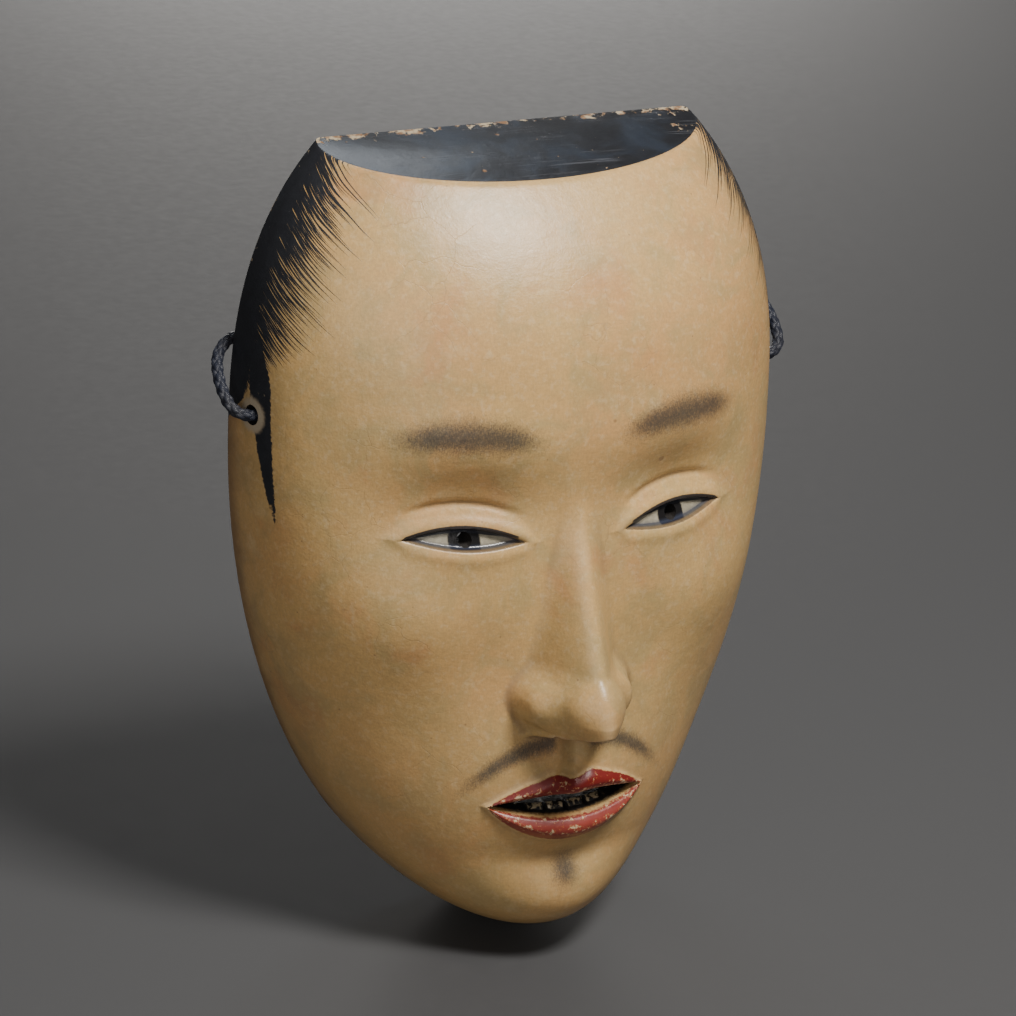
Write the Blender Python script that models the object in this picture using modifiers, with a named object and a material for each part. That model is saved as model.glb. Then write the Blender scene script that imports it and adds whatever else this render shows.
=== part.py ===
"""Noh mask: a carved and pierced cypress face, three inside pads and two braided tie cords.

The face looks to -Y, +Z is up and the rim lies flat on the plane y = 0. The origin is midway
between the two cord holes. Right is the wearer's right, on -X. Heights named "height" count up
from the bottom of the chin, because that is how a face is laid out.
"""
import math

import bmesh
import bpy
import numpy as np
from mathutils import Matrix, Vector

MM = 0.001

# Driving dimensions of the block, in metres
MASK_HEIGHT = 203 * MM
HALF_WIDTH = 71 * MM
WIDEST_HEIGHT = 130 * MM
CORD_HOLE_HEIGHT = 140 * MM
FACE_DEPTH = 50 * MM
CHIN_ROUNDING = 22 * MM
CHIN_FLAT = 0.6 * MM
FOREHEAD_START = 140 * MM
FOREHEAD_FALL = 27 * MM
CROWN_REACH = 94 * MM
CROWN_POWER = 2.6
CAP_TILT = math.radians(15)
WALL = 8 * MM
SIDE_POWER = 0.42

# Face, laid out by the rule of thirds and of five eyes across
EYE_HEIGHT = 114 * MM
EYE_ACROSS = 27.6 * MM
EYE_HALF_LENGTH = 14.2 * MM
EYE_RISE = 3.6 * MM
EYE_DROP = 2.4 * MM
PUPIL_RADIUS = 2.3 * MM
NOSTRIL_RADIUS = 2.1 * MM
NOSE_BASE_HEIGHT = 67 * MM
NOSE_TIP_HEIGHT = 74 * MM
NOSE_TIP_DEPTH = 69.5 * MM
NOSE_ROOT_DEPTH = 48.5 * MM
NOSE_ROOT_HEIGHT = 122 * MM
NOSE_ROOT_BLEND = 4 * MM
MOUTH_HEIGHT = 45 * MM
MOUTH_HALF_WIDTH = 21 * MM
MOUTH_RISE = 3.2 * MM
MOUTH_DROP = 3.8 * MM
MOUTH_SLIT = (26 * MM, 50 * MM, 1.7 * MM)

# Pads, as centre height, half width, half height and thickness
FOREHEAD_PAD = (166 * MM, 31 * MM, 13 * MM, 7 * MM)
CHEEK_PAD = (88 * MM, 12 * MM, 17 * MM, 5.5 * MM)
CHEEK_PAD_ACROSS = 32 * MM

# Cords
CORD_DIAMETER = 3 * MM
CORD_STEP = 2.6 * MM
CORD_HOLE_DIAMETER = 5 * MM
CORD_HOLE_DEPTH = 12.5 * MM
KNOT_ACROSS = 55 * MM
KNOT_RADIUS = 4.4 * MM
KNOT_LENGTH = 7 * MM
HANK_WIDTH = 5 * CORD_DIAMETER
HANK_THICKNESS = 5 * CORD_DIAMETER
HANK_LENGTH = 48 * MM
HANK_TOP = Vector((49 * MM, -11.5 * MM, -12 * MM))
HANK_LEAN = math.radians(13.5)
TIE_HEIGHT = 6 * MM
TIE_THICKNESS = 1.1 * MM
BINDING_RADIUS = 1.7 * MM
BINDING_LENGTH = 6 * MM
GAP = 0.3 * MM

# Swellings and hollows of the flesh, in millimetres:
# (across, height, half width, half height, amount towards the front)
FLESH = (
    (0, 46, 26, 17, 3.6),
    (0, 16, 15, 11, 2.4),
    (0, 29.5, 15, 4.5, -2.2),
    (27.6, 119, 17, 11, -5.2),
    (27.6, 113.5, 12.5, 8, 3.6),
    (27, 138, 21, 8, 1.5),
    (0, 137, 12, 10, 0.8),
    (42, 93, 17, 14, 2.6),
    (41, 58, 14, 18, -1.8),
    (22, 82, 9, 12, -1.2),
    (58, 145, 14, 20, -1.4),
    (0, 165, 36, 18, 0.6),
)

SKIN = (0.56, 0.40, 0.22)
SILK = (0.012, 0.016, 0.030)
COTTON = (0.70, 0.66, 0.56)
THREAD = (0.30, 0.05, 0.04)


# ---------------------------------------------------------------- set-up

def clear_scene():
    """Remove every object of the opening scene."""
    for item in list(bpy.data.objects):
        bpy.data.objects.remove(item, do_unlink=True)


def new_collection(name):
    """Make a collection under the scene's own."""
    collection = bpy.data.collections.new(name)
    bpy.context.scene.collection.children.link(collection)
    return collection


def new_material(name, colour, roughness):
    """Make a plain Principled material."""
    material = bpy.data.materials.new(name)
    material.use_nodes = True
    shader = material.node_tree.nodes["Principled BSDF"]
    shader.inputs["Base Color"].default_value = (*colour, 1.0)
    shader.inputs["Roughness"].default_value = roughness
    shader.inputs["Metallic"].default_value = 0.0
    return material


def new_object(name, data, collection, material=None):
    """Link a named object to a collection and give it its material."""
    item = bpy.data.objects.new(name, data)
    collection.objects.link(item)
    if material is not None:
        data.materials.append(material)
    return item


def finished_mesh(item):
    """The item's mesh with its modifiers applied, and its doubled points merged."""
    graph = bpy.context.evaluated_depsgraph_get()
    mesh = bpy.data.meshes.new_from_object(item.evaluated_get(graph))
    work = bmesh.new()
    work.from_mesh(mesh)
    bmesh.ops.remove_doubles(work, verts=work.verts, dist=0.01 * MM)
    bmesh.ops.recalc_face_normals(work, faces=work.faces)
    work.to_mesh(mesh)
    work.free()
    return mesh


def mark_cutter(item):
    """Hide a cutter from the render and draw it as wires."""
    item.hide_render = True
    item.display_type = "WIRE"
    return item


def cut(item, cutter):
    """Carve the cutter's shape out of the item."""
    boolean = item.modifiers.new(cutter.name, "BOOLEAN")
    boolean.operation = "DIFFERENCE"
    boolean.solver = "EXACT"
    boolean.object = cutter


def shade(item, angle=35):
    """Shade a round piece smooth, with its edges kept sharp."""
    item.data.shade_smooth()
    item.data.set_sharp_from_angle(angle=math.radians(angle))


# ---------------------------------------------------------------- shape of the face

def egg_half_width(height, inset=0.0):
    """Half width of the egg-shaped outline at a height, taken in by an inset all round."""
    below = np.clip((WIDEST_HEIGHT - height) / (WIDEST_HEIGHT + CHIN_FLAT - inset), 0, 1)
    above = np.clip((height - WIDEST_HEIGHT) / (CROWN_REACH - inset), 0, 1)
    lower = np.power(1 - below**2, 0.54)
    upper = np.sqrt(1 - above**CROWN_POWER)
    return (HALF_WIDTH - inset) * lower * upper


def centre_depth(height, inset=0.0):
    """Depth of the bare dome on the centre line: chin rounding, face and falling forehead."""
    under = np.clip(1 - (height + CHIN_FLAT - inset) / CHIN_ROUNDING, 0, 1)
    chin = np.power(1 - under**2.4, 1 / 2.4)
    fall = FOREHEAD_FALL * np.power(np.clip((height - FOREHEAD_START) / (60 * MM), 0, None), 2.2)
    return (FACE_DEPTH - inset) * chin - fall


def dome_depth(across, height, inset=0.0):
    """Depth of the bare dome: each level section is half of a squarish ellipse."""
    reach = np.clip(across / egg_half_width(height, inset), -1, 1)
    return centre_depth(height, inset) * np.power(1 - reach**2, SIDE_POWER)


def smooth_max(one, two, blend):
    """The greater of two values, with the corner between them rounded."""
    mix = np.clip(0.5 + 0.5 * (one - two) / blend, 0, 1)
    return two + (one - two) * mix + blend * mix * (1 - mix)


def smooth_step(low, high, value):
    """Ease from 0 at low to 1 at high."""
    part = np.clip((value - low) / (high - low), 0, 1)
    return part * part * (3 - 2 * part)


def ball(across, height, place, radius):
    """Front of a ball centred at (across, height, depth), falling away steeply outside it."""
    distance = np.hypot(across - place[0], height - place[1])
    inside = np.sqrt(np.clip(radius**2 - distance**2, 0, None))
    return place[2] + inside - 3 * np.clip(distance - radius, 0, None)


def nose_depth(across, height):
    """Bridge, tip and wings of the nose, cut off below along its base."""
    run = (NOSE_ROOT_HEIGHT - height) / (NOSE_ROOT_HEIGHT - NOSE_TIP_HEIGHT)
    crest = NOSE_ROOT_DEPTH + (NOSE_TIP_DEPTH - NOSE_ROOT_DEPTH) * np.clip(run, -1, 1.05)
    side = np.sqrt(across**2 + (4 * MM) ** 2) - 4 * MM
    brow = np.clip(height - NOSE_ROOT_HEIGHT - NOSE_ROOT_BLEND, 0, None)
    bridge = crest - (1.5 + 0.9 * np.clip(run, 0, 1)) * side - 1.5 * brow
    tip = ball(across, height, (0, NOSE_TIP_HEIGHT, NOSE_TIP_DEPTH - 8 * MM), 8 * MM)
    wing = ball(np.abs(across), height, (9.2 * MM, 71.5 * MM, 52.6 * MM), 5.8 * MM)
    nose = smooth_max(smooth_max(bridge, tip, 4 * MM), wing, 3 * MM)
    base = 54 * MM + 4.5 * (height - NOSE_BASE_HEIGHT + 2 * MM)
    return -smooth_max(-nose, -base, 3 * MM)


def opening(across, height, centre, half_length, rise, drop):
    """How far inside an almond opening a point lies: above 0 inside, below 0 outside."""
    along = np.clip(1 - ((across - centre[0]) / half_length) ** 2, 0, 1)
    outside = np.clip(np.abs(across - centre[0]) - half_length, 0, None)
    upper = centre[1] + rise * along - height
    lower = height - centre[1] + drop * along
    return np.minimum(upper, lower) - outside


def face_depth(across, height):
    """Depth of the finished face in front of the rim plane."""
    depth = dome_depth(across, height)
    reach = np.clip(across / egg_half_width(height), -1, 1)
    fade = smooth_step(0, 0.35, 1 - reach**2)
    for place, level, half_width, half_height, amount in FLESH:
        swell = np.exp(-(((np.abs(across) - place * MM) / (half_width * MM)) ** 2)
                       - ((height - level * MM) / (half_height * MM)) ** 2)
        depth = depth + amount * MM * swell * fade
    depth = smooth_max(depth, nose_depth(across, height), 3 * MM)
    mouth = opening(across, height, (0, MOUTH_HEIGHT), MOUTH_HALF_WIDTH, MOUTH_RISE, MOUTH_DROP)
    lips = np.exp(-(((mouth + 2.6 * MM) / (3.2 * MM)) ** 2))
    depth = depth + 2.3 * MM * lips * smooth_step(25 * MM, 15 * MM, np.abs(across))
    depth = depth - 3.4 * MM * smooth_step(-1.2 * MM, 1.6 * MM, mouth)
    eye = opening(np.abs(across), height, (EYE_ACROSS, EYE_HEIGHT), EYE_HALF_LENGTH, EYE_RISE, EYE_DROP)
    lids = np.exp(-(((eye + 1.6 * MM) / (2.0 * MM)) ** 2))
    depth = depth + 0.7 * MM * lids * fade
    return depth - 1.7 * MM * smooth_step(-0.5 * MM, 1.0 * MM, eye)


# ---------------------------------------------------------------- carved solids

def spread(low, high, count, places, width):
    """Points from low to high, closer together near the given places."""
    fine = np.linspace(low, high, 800)
    density = np.ones_like(fine)
    for place in places:
        density = density + 2.2 * np.exp(-(((fine - place) / width) ** 2))
    total = np.concatenate([[0], np.cumsum((density[1:] + density[:-1]) / 2)])
    return np.interp(np.linspace(0, total[-1], count), total, fine)


def relief_points(depth_of, half_width_of, heights, angles, crown):
    """Grid of points (row, column, xyz) whose last row lies on the sloping cap plane."""
    level = np.repeat(heights[:, None], len(angles), axis=1)
    turn = np.repeat(angles[None, :], len(heights), axis=0)
    top = np.full(len(angles), crown)
    for _ in range(40):
        across = half_width_of(top) * np.sin(angles)
        top = 0.5 * top + 0.5 * (crown - math.tan(CAP_TILT) * depth_of(across, top))
    share = smooth_step(0.5, 1.0, (level - heights[0]) / (heights[-1] - heights[0]))
    level = level + share * (top[None, :] - heights[-1])
    across = half_width_of(level) * np.sin(turn)
    depth = np.where(np.abs(turn) > math.radians(89.9), 0.0, depth_of(across, level))
    return np.stack([across, -depth, level - CORD_HOLE_HEIGHT], axis=-1)


def solid_from_grid(name, points, back):
    """Close a relief grid with a floor, a cap facet and a flat back at y = back."""
    rows, columns = points.shape[:2]
    points = points.copy()
    points[:, 0, 1] = back
    points[:, -1, 1] = back
    mesh = bpy.data.meshes.new(name)
    number = np.arange(rows * columns).reshape(rows, columns)
    faces = []
    for row in range(rows - 1):
        for column in range(columns - 1):
            faces.append((number[row, column], number[row, column + 1],
                          number[row + 1, column + 1], number[row + 1, column]))
        faces.append((number[row, -1], number[row, 0], number[row + 1, 0], number[row + 1, -1]))
    faces.append(tuple(number[0, ::-1]))
    faces.append(tuple(number[-1]))
    mesh.from_pydata(points.reshape(-1, 3).tolist(), [], [tuple(map(int, face)) for face in faces])
    mesh.validate()
    work = bmesh.new()
    work.from_mesh(mesh)
    bmesh.ops.recalc_face_normals(work, faces=work.faces)
    work.to_mesh(mesh)
    work.free()
    return mesh


def chin_rows(bottom, count):
    """Heights through the rounding under the chin, closest together at the bottom."""
    turn = np.linspace(0, math.pi / 2, count)
    return bottom + CHIN_ROUNDING * (1 - np.cos(turn))


def carve_front(collection, material):
    """The block with its face carved, still solid behind."""
    features = (MOUTH_HEIGHT, NOSE_BASE_HEIGHT + 4 * MM, EYE_HEIGHT)
    upper = spread(CHIN_ROUNDING, MASK_HEIGHT, 58, features, 8 * MM)
    heights = np.concatenate([chin_rows(0.0, 7)[:-1], upper])
    angles = spread(-math.pi / 2, math.pi / 2, 63, (0.0,), 0.35)
    points = relief_points(face_depth, egg_half_width, heights, angles, MASK_HEIGHT)
    return new_object("mask_body", solid_from_grid("mask_body", points, 0.0), collection, material)


def hollow_cutter(cutters):
    """The smooth hollow behind the face, open at the back."""
    heights = np.concatenate([chin_rows(WALL, 5)[:-1],
                              np.linspace(WALL + CHIN_ROUNDING, MASK_HEIGHT - WALL, 15)])
    angles = np.linspace(-math.pi / 2, math.pi / 2, 21)
    points = relief_points(lambda x, h: dome_depth(x, h, WALL), lambda h: egg_half_width(h, WALL),
                           heights, angles, MASK_HEIGHT - WALL - 1 * MM)
    mesh = solid_from_grid("hollow", points, 5 * MM)
    return mark_cutter(new_object("hollow_cutter", mesh, cutters))


def drill(name, cutters, start, end, radius, sides=16):
    """A round cutter from start to end, in metres."""
    start, end = Vector(start), Vector(end)
    work = bmesh.new()
    bmesh.ops.create_cone(work, cap_ends=True, segments=sides, radius1=radius, radius2=radius,
                          depth=(end - start).length)
    mesh = bpy.data.meshes.new(name)
    work.to_mesh(mesh)
    work.free()
    item = new_object(name, mesh, cutters)
    turn = (end - start).to_track_quat("Z", "Y").to_matrix().to_4x4()
    item.matrix_world = Matrix.Translation((start + end) / 2) @ turn
    return mark_cutter(item)


def slot(name, cutters, size, place):
    """A rectangular cutter."""
    work = bmesh.new()
    bmesh.ops.create_cube(work, size=1.0)
    bmesh.ops.scale(work, vec=size, verts=work.verts)
    mesh = bpy.data.meshes.new(name)
    work.to_mesh(mesh)
    work.free()
    item = new_object(name, mesh, cutters)
    item.location = place
    return mark_cutter(item)


def pierce(body, cutters):
    """Open the pupils, nostrils, mouth and cord holes."""
    eye_z = EYE_HEIGHT - CORD_HOLE_HEIGHT
    mouth_z = MOUTH_HEIGHT - CORD_HOLE_HEIGHT
    nose_z = NOSE_BASE_HEIGHT - CORD_HOLE_HEIGHT
    for side in (-1, 1):
        x = side * EYE_ACROSS
        cut(body, drill(f"pupil_cutter_{side}", cutters, (x, -70 * MM, eye_z), (x, -20 * MM, eye_z),
                        PUPIL_RADIUS))
        cut(body, drill(f"nostril_cutter_{side}", cutters, (side * 6 * MM, -66 * MM, nose_z - 6 * MM),
                        (side * 7 * MM, -30 * MM, nose_z + 13 * MM), NOSTRIL_RADIUS, 12))
        cut(body, drill(f"cord_hole_cutter_{side}", cutters, (side * 52 * MM, -CORD_HOLE_DEPTH, 0),
                        (side * 82 * MM, -CORD_HOLE_DEPTH, 0), CORD_HOLE_DIAMETER / 2))
    cut(body, slot("mouth_cutter", cutters, MOUTH_SLIT, (0, -50 * MM, mouth_z - 0.5 * MM)))


def mask_body(collection, cutters):
    """The carved, hollowed and pierced block."""
    body = carve_front(collection, new_material("painted_cypress", SKIN, 0.45))
    cut(body, hollow_cutter(cutters))
    pierce(body, cutters)
    shade(body)


# ---------------------------------------------------------------- pads

def pad(name, collection, material, place, size):
    """A crowned cotton pad whose front follows the hollow, a gap clear of the wood."""
    level, half_width, half_height, thickness = size
    across_steps = np.linspace(-1, 1, 13)
    height_steps = np.linspace(-1, 1, 11)
    v, u = np.meshgrid(height_steps, across_steps, indexing="ij")
    shrink_u = u * np.sqrt(1 - v**2 / 2)
    shrink_v = v * np.sqrt(1 - u**2 / 2)
    across = place + half_width * shrink_u
    height = level + half_height * shrink_v
    front = dome_depth(across, height, WALL) - 0.8 * MM
    crown = np.power(np.clip(1 - shrink_u**2 - shrink_v**2, 0, 1), 0.35)
    points = []
    for depth in (front, front - 1.5 * MM - thickness * crown):
        points.append(np.stack([across, -depth, height - CORD_HOLE_HEIGHT], axis=-1))
    mesh = pillow_mesh(name, points[0], points[1])
    item = new_object(name, mesh, collection, material)
    shade(item, 60)
    return item


def pillow_mesh(name, front, back):
    """Join two grids of points along their edges into one closed skin."""
    rows, columns = front.shape[:2]
    number = np.arange(rows * columns).reshape(rows, columns)
    faces = []
    for row in range(rows - 1):
        for column in range(columns - 1):
            quad = (number[row, column], number[row, column + 1],
                    number[row + 1, column + 1], number[row + 1, column])
            faces.append(quad)
            faces.append(tuple(corner + rows * columns for corner in reversed(quad)))
    edge = [*number[0, :], *number[1:, -1], *number[-1, -2::-1], *number[-2:0:-1, 0]]
    for here, there in zip(edge, edge[1:] + edge[:1]):
        faces.append((there, here, here + rows * columns, there + rows * columns))
    mesh = bpy.data.meshes.new(name)
    points = np.concatenate([front.reshape(-1, 3), back.reshape(-1, 3)])
    mesh.from_pydata(points.tolist(), [], [tuple(map(int, face)) for face in faces])
    work = bmesh.new()
    work.from_mesh(mesh)
    bmesh.ops.recalc_face_normals(work, faces=work.faces)
    work.to_mesh(mesh)
    work.free()
    return mesh


# ---------------------------------------------------------------- cords

def smooth_route(knots, step):
    """Points at an even step along a smooth curve through the given points."""
    knots = np.array(knots, dtype=float)
    padded = np.vstack([2 * knots[0] - knots[1], knots, 2 * knots[-1] - knots[-2]])
    fine = []
    for index in range(1, len(padded) - 2):
        before, start, end, after = padded[index - 1:index + 3]
        for t in np.linspace(0, 1, 30, endpoint=False):
            fine.append(0.5 * (2 * start + (end - before) * t
                               + (2 * before - 5 * start + 4 * end - after) * t**2
                               + (3 * start - before - 3 * end + after) * t**3))
    fine.append(padded[-2])
    fine = np.array(fine)
    length = np.concatenate([[0], np.cumsum(np.linalg.norm(np.diff(fine, axis=0), axis=1))])
    count = max(2, round(length[-1] / step) + 1)
    even = np.linspace(0, length[-1], count)
    return np.stack([np.interp(even, length, fine[:, axis]) for axis in range(3)], axis=1)


def tube(name, collection, material, route, diameter):
    """A round cord along a route, its ends closed."""
    curve = bpy.data.curves.new(name, "CURVE")
    curve.dimensions = "3D"
    curve.bevel_depth = diameter / 2
    curve.bevel_resolution = 2
    curve.use_fill_caps = True
    points = smooth_route(route, CORD_STEP)
    spline = curve.splines.new("POLY")
    spline.points.add(len(points) - 1)
    for point, place in zip(spline.points, points):
        point.co = (*place, 1.0)
    return new_object(name, curve, collection, material)


def mirrored(side, points):
    """Points given for the +X side, moved to the side asked for."""
    return [(side * x * MM, y * MM, z * MM) for x, y, z in points]


def rim_loop(prefix, side, collection, silk):
    """The cord's held stretch: out through the hole, round the rim and back to the knot."""
    route = mirrored(side, [(58.8, -12.5, 0), (65, -12.5, 0), (71.0, -12.4, 0.1), (74.2, -10.6, 2.2),
                            (75.0, -5.6, 6.6), (73.6, -0.4, 11.0), (69.8, 2.8, 13.8),
                            (65.4, 3.4, 14.2), (60.7, 2.0, 12.6), (58.8, -3.2, 9.4),
                            (57.0, -8.0, 6.8), (55.8, -10.0, 4.9)])
    tube(f"{prefix}_rim_loop", collection, silk, route, CORD_DIAMETER)


def hitch_knot(prefix, side, collection, silk):
    """The knot at the hole's inner mouth, round about the axis that the cord swings on."""
    profile = [(0.0, 0.5), (0.62, 0.5), (0.9, 0.36), (1.0, 0.12), (1.0, -0.12), (0.9, -0.36),
               (0.62, -0.5), (0.0, -0.5)]
    mesh = bpy.data.meshes.new(f"{prefix}_hitch_knot")
    points = [(radius * KNOT_RADIUS, 0.0, along * KNOT_LENGTH) for radius, along in profile]
    mesh.from_pydata(points, [(i, i + 1) for i in range(len(points) - 1)], [])
    item = new_object(f"{prefix}_hitch_knot", mesh, collection, silk)
    turned = item.modifiers.new("turned", "SCREW")
    turned.steps = 16
    turned.render_steps = 16
    turned.use_merge_vertices = True
    turned.merge_threshold = 0.00001
    item.rotation_euler = (0, math.pi / 2, 0)
    item.location = (side * KNOT_ACROSS, -CORD_HOLE_DEPTH, 0)
    shade(item, 60)


def leaning(side, place):
    """Frame at a point on the hank's axis: local Z runs up the hank, local Y to the back."""
    return Matrix.Translation(place) @ Matrix.Rotation(side * HANK_LEAN, 4, "Y")


def stadium(name, length, width, thickness, collection, material):
    """A flat outline with round ends, standing on edge, of the given thickness."""
    curve = bpy.data.curves.new(name, "CURVE")
    curve.dimensions = "2D"
    curve.fill_mode = "BOTH"
    curve.extrude = thickness / 2 - 1.2 * MM
    curve.bevel_depth = 1.2 * MM
    curve.bevel_resolution = 1
    radius = width / 2 - 1.2 * MM
    straight = length / 2 - width / 2
    spline = curve.splines.new("POLY")
    turns = np.linspace(0, math.pi, 9)
    corners = [(radius * math.cos(turn), straight + radius * math.sin(turn)) for turn in turns]
    corners += [(-x, -y) for x, y in corners]
    spline.points.add(len(corners) - 1)
    for point, (x, y) in zip(spline.points, corners):
        point.co = (x, y, 0.0, 1.0)
    spline.use_cyclic_u = True
    return new_object(name, curve, collection, material)


def cord_hank(prefix, side, collection, silk, pivot):
    """The put-away length: one solid of the hank's outer shape."""
    item = stadium(f"{prefix}_cord_hank", HANK_LENGTH, HANK_WIDTH, HANK_THICKNESS, collection, silk)
    top = Vector((side * HANK_TOP.x, HANK_TOP.y, HANK_TOP.z))
    upright = Matrix.Rotation(math.pi / 2, 4, "X")
    place = leaning(side, top) @ Matrix.Translation((0, 0, -HANK_LENGTH / 2)) @ upright
    mesh = finished_mesh(item)
    name = item.name
    bpy.data.objects.remove(item, do_unlink=True)
    hank = new_object(name, mesh, collection)
    hank.parent = pivot
    hank.matrix_parent_inverse = pivot.matrix_world.inverted()
    hank.matrix_world = place
    shade(hank, 40)


def hank_tie(prefix, side, collection, thread, pivot):
    """A band of thread round the middle of the hank."""
    inner = Vector((HANK_WIDTH / 2 + GAP, HANK_THICKNESS / 2 + GAP))
    corner = 2.2 * MM
    mesh = bpy.data.meshes.new(f"{prefix}_hank_tie")
    points = []
    for out in (0.0, TIE_THICKNESS):
        for height in (-TIE_HEIGHT / 2, TIE_HEIGHT / 2):
            for turn in np.linspace(0, 2 * math.pi, 24, endpoint=False):
                x = math.copysign(inner.x - corner, math.cos(turn)) + (corner + out) * math.cos(turn)
                y = math.copysign(inner.y - corner, math.sin(turn)) + (corner + out) * math.sin(turn)
                points.append((x, y, height))
    rings = [[base + step for step in range(24)] for base in (0, 24, 48, 72)]
    faces = []
    for lower, upper in ((0, 2), (2, 3), (3, 1), (1, 0)):
        for step in range(24):
            after = (step + 1) % 24
            faces.append((rings[lower][step], rings[lower][after], rings[upper][after],
                          rings[upper][step]))
    mesh.from_pydata(points, [], faces)
    work = bmesh.new()
    work.from_mesh(mesh)
    bmesh.ops.recalc_face_normals(work, faces=work.faces)
    work.to_mesh(mesh)
    work.free()
    item = new_object(f"{prefix}_hank_tie", mesh, collection, thread)
    top = Vector((side * HANK_TOP.x, HANK_TOP.y, HANK_TOP.z))
    item.parent = pivot
    item.matrix_parent_inverse = pivot.matrix_world.inverted()
    item.matrix_world = leaning(side, top) @ Matrix.Translation((0, 0, -HANK_LENGTH / 2))
    shade(item, 60)


def cord_drop(prefix, side, collection, silk, pivot):
    """The short hanging stretch between the knot and the hank's outer run."""
    top_x = KNOT_ACROSS / MM
    start_z = -(KNOT_RADIUS + GAP) / MM
    route = mirrored(side, [(top_x, -12.5, start_z), (top_x, -12.2, start_z - 3.5),
                            (top_x - 0.5, -11.6, start_z - 8.2)])
    tube(f"{prefix}_cord_drop", collection, silk, route, CORD_DIAMETER)
    attach(f"{prefix}_cord_drop", pivot)


def attach(name, pivot):
    """Hang an object on the pivot without moving it."""
    item = bpy.data.objects[name]
    item.parent = pivot
    item.matrix_parent_inverse = pivot.matrix_world.inverted()


def cord_tail(prefix, side, collection, silk, thread, pivot):
    """The cord's loose end below the hank, with the binding that stops it fraying."""
    top = Vector((side * HANK_TOP.x, HANK_TOP.y, HANK_TOP.z))
    end = leaning(side, top) @ Vector((0, 0, -HANK_LENGTH - GAP - 0.2 * MM))
    start = end / MM
    route = [(x * MM, y * MM, z * MM) for x, y, z in (
        (start.x, start.y, start.z), (start.x - side * 0.6, start.y, start.z - 5),
        (start.x - side * 0.8, start.y, start.z - 10))]
    tube(f"{prefix}_cord_tail", collection, silk, route, CORD_DIAMETER)
    attach(f"{prefix}_cord_tail", pivot)
    bottom = Vector(route[-1])
    work = bmesh.new()
    bmesh.ops.create_cone(work, cap_ends=True, segments=14, radius1=BINDING_RADIUS,
                          radius2=BINDING_RADIUS, depth=BINDING_LENGTH)
    mesh = bpy.data.meshes.new(f"{prefix}_end_binding")
    work.to_mesh(mesh)
    work.free()
    item = new_object(f"{prefix}_end_binding", mesh, collection, thread)
    item.location = bottom - Vector((0, 0, GAP + BINDING_LENGTH / 2))
    rounded = item.modifiers.new("rounded", "BEVEL")
    rounded.width = 0.4 * MM
    rounded.segments = 2
    bpy.context.view_layer.update()
    attach(item.name, pivot)
    shade(item, 50)


def tie_cord(prefix, side, collection, silk, thread):
    """One cord: held at the rim, hanging from its knot and put away as a hank."""
    pivot = bpy.data.objects.new(f"{prefix}_cord_pivot", None)
    pivot.location = (side * KNOT_ACROSS, -CORD_HOLE_DEPTH, 0)
    pivot.empty_display_size = 5 * MM
    collection.objects.link(pivot)
    bpy.context.view_layer.update()
    rim_loop(prefix, side, collection, silk)
    hitch_knot(prefix, side, collection, silk)
    cord_drop(prefix, side, collection, silk, pivot)
    cord_hank(prefix, side, collection, silk, pivot)
    hank_tie(prefix, side, collection, thread, pivot)
    cord_tail(prefix, side, collection, silk, thread, pivot)


def main():
    """Build the whole mask."""
    clear_scene()
    parts = new_collection("noh_mask")
    cutters = new_collection("cutters")
    mask_body(parts, cutters)
    cotton = new_material("cotton", COTTON, 0.9)
    pad("forehead_pad", parts, cotton, 0.0, FOREHEAD_PAD)
    for prefix, side in (("right", -1), ("left", 1)):
        pad(f"{prefix}_cheek_pad", parts, cotton, side * CHEEK_PAD_ACROSS, CHEEK_PAD)
    silk = new_material("dark_silk", SILK, 0.5)
    thread = new_material("red_thread", THREAD, 0.6)
    for prefix, side in (("right", -1), ("left", 1)):
        tie_cord(prefix, side, parts, silk, thread)


main()
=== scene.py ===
"""Looks of the noh mask: carved face, painted coats, cotton pads and braided tie cords."""
import math

import bmesh
import bpy
import numpy as np
from bpy.props import FloatProperty, FloatVectorProperty, IntProperty, PointerProperty
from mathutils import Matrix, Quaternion, Vector


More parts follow.
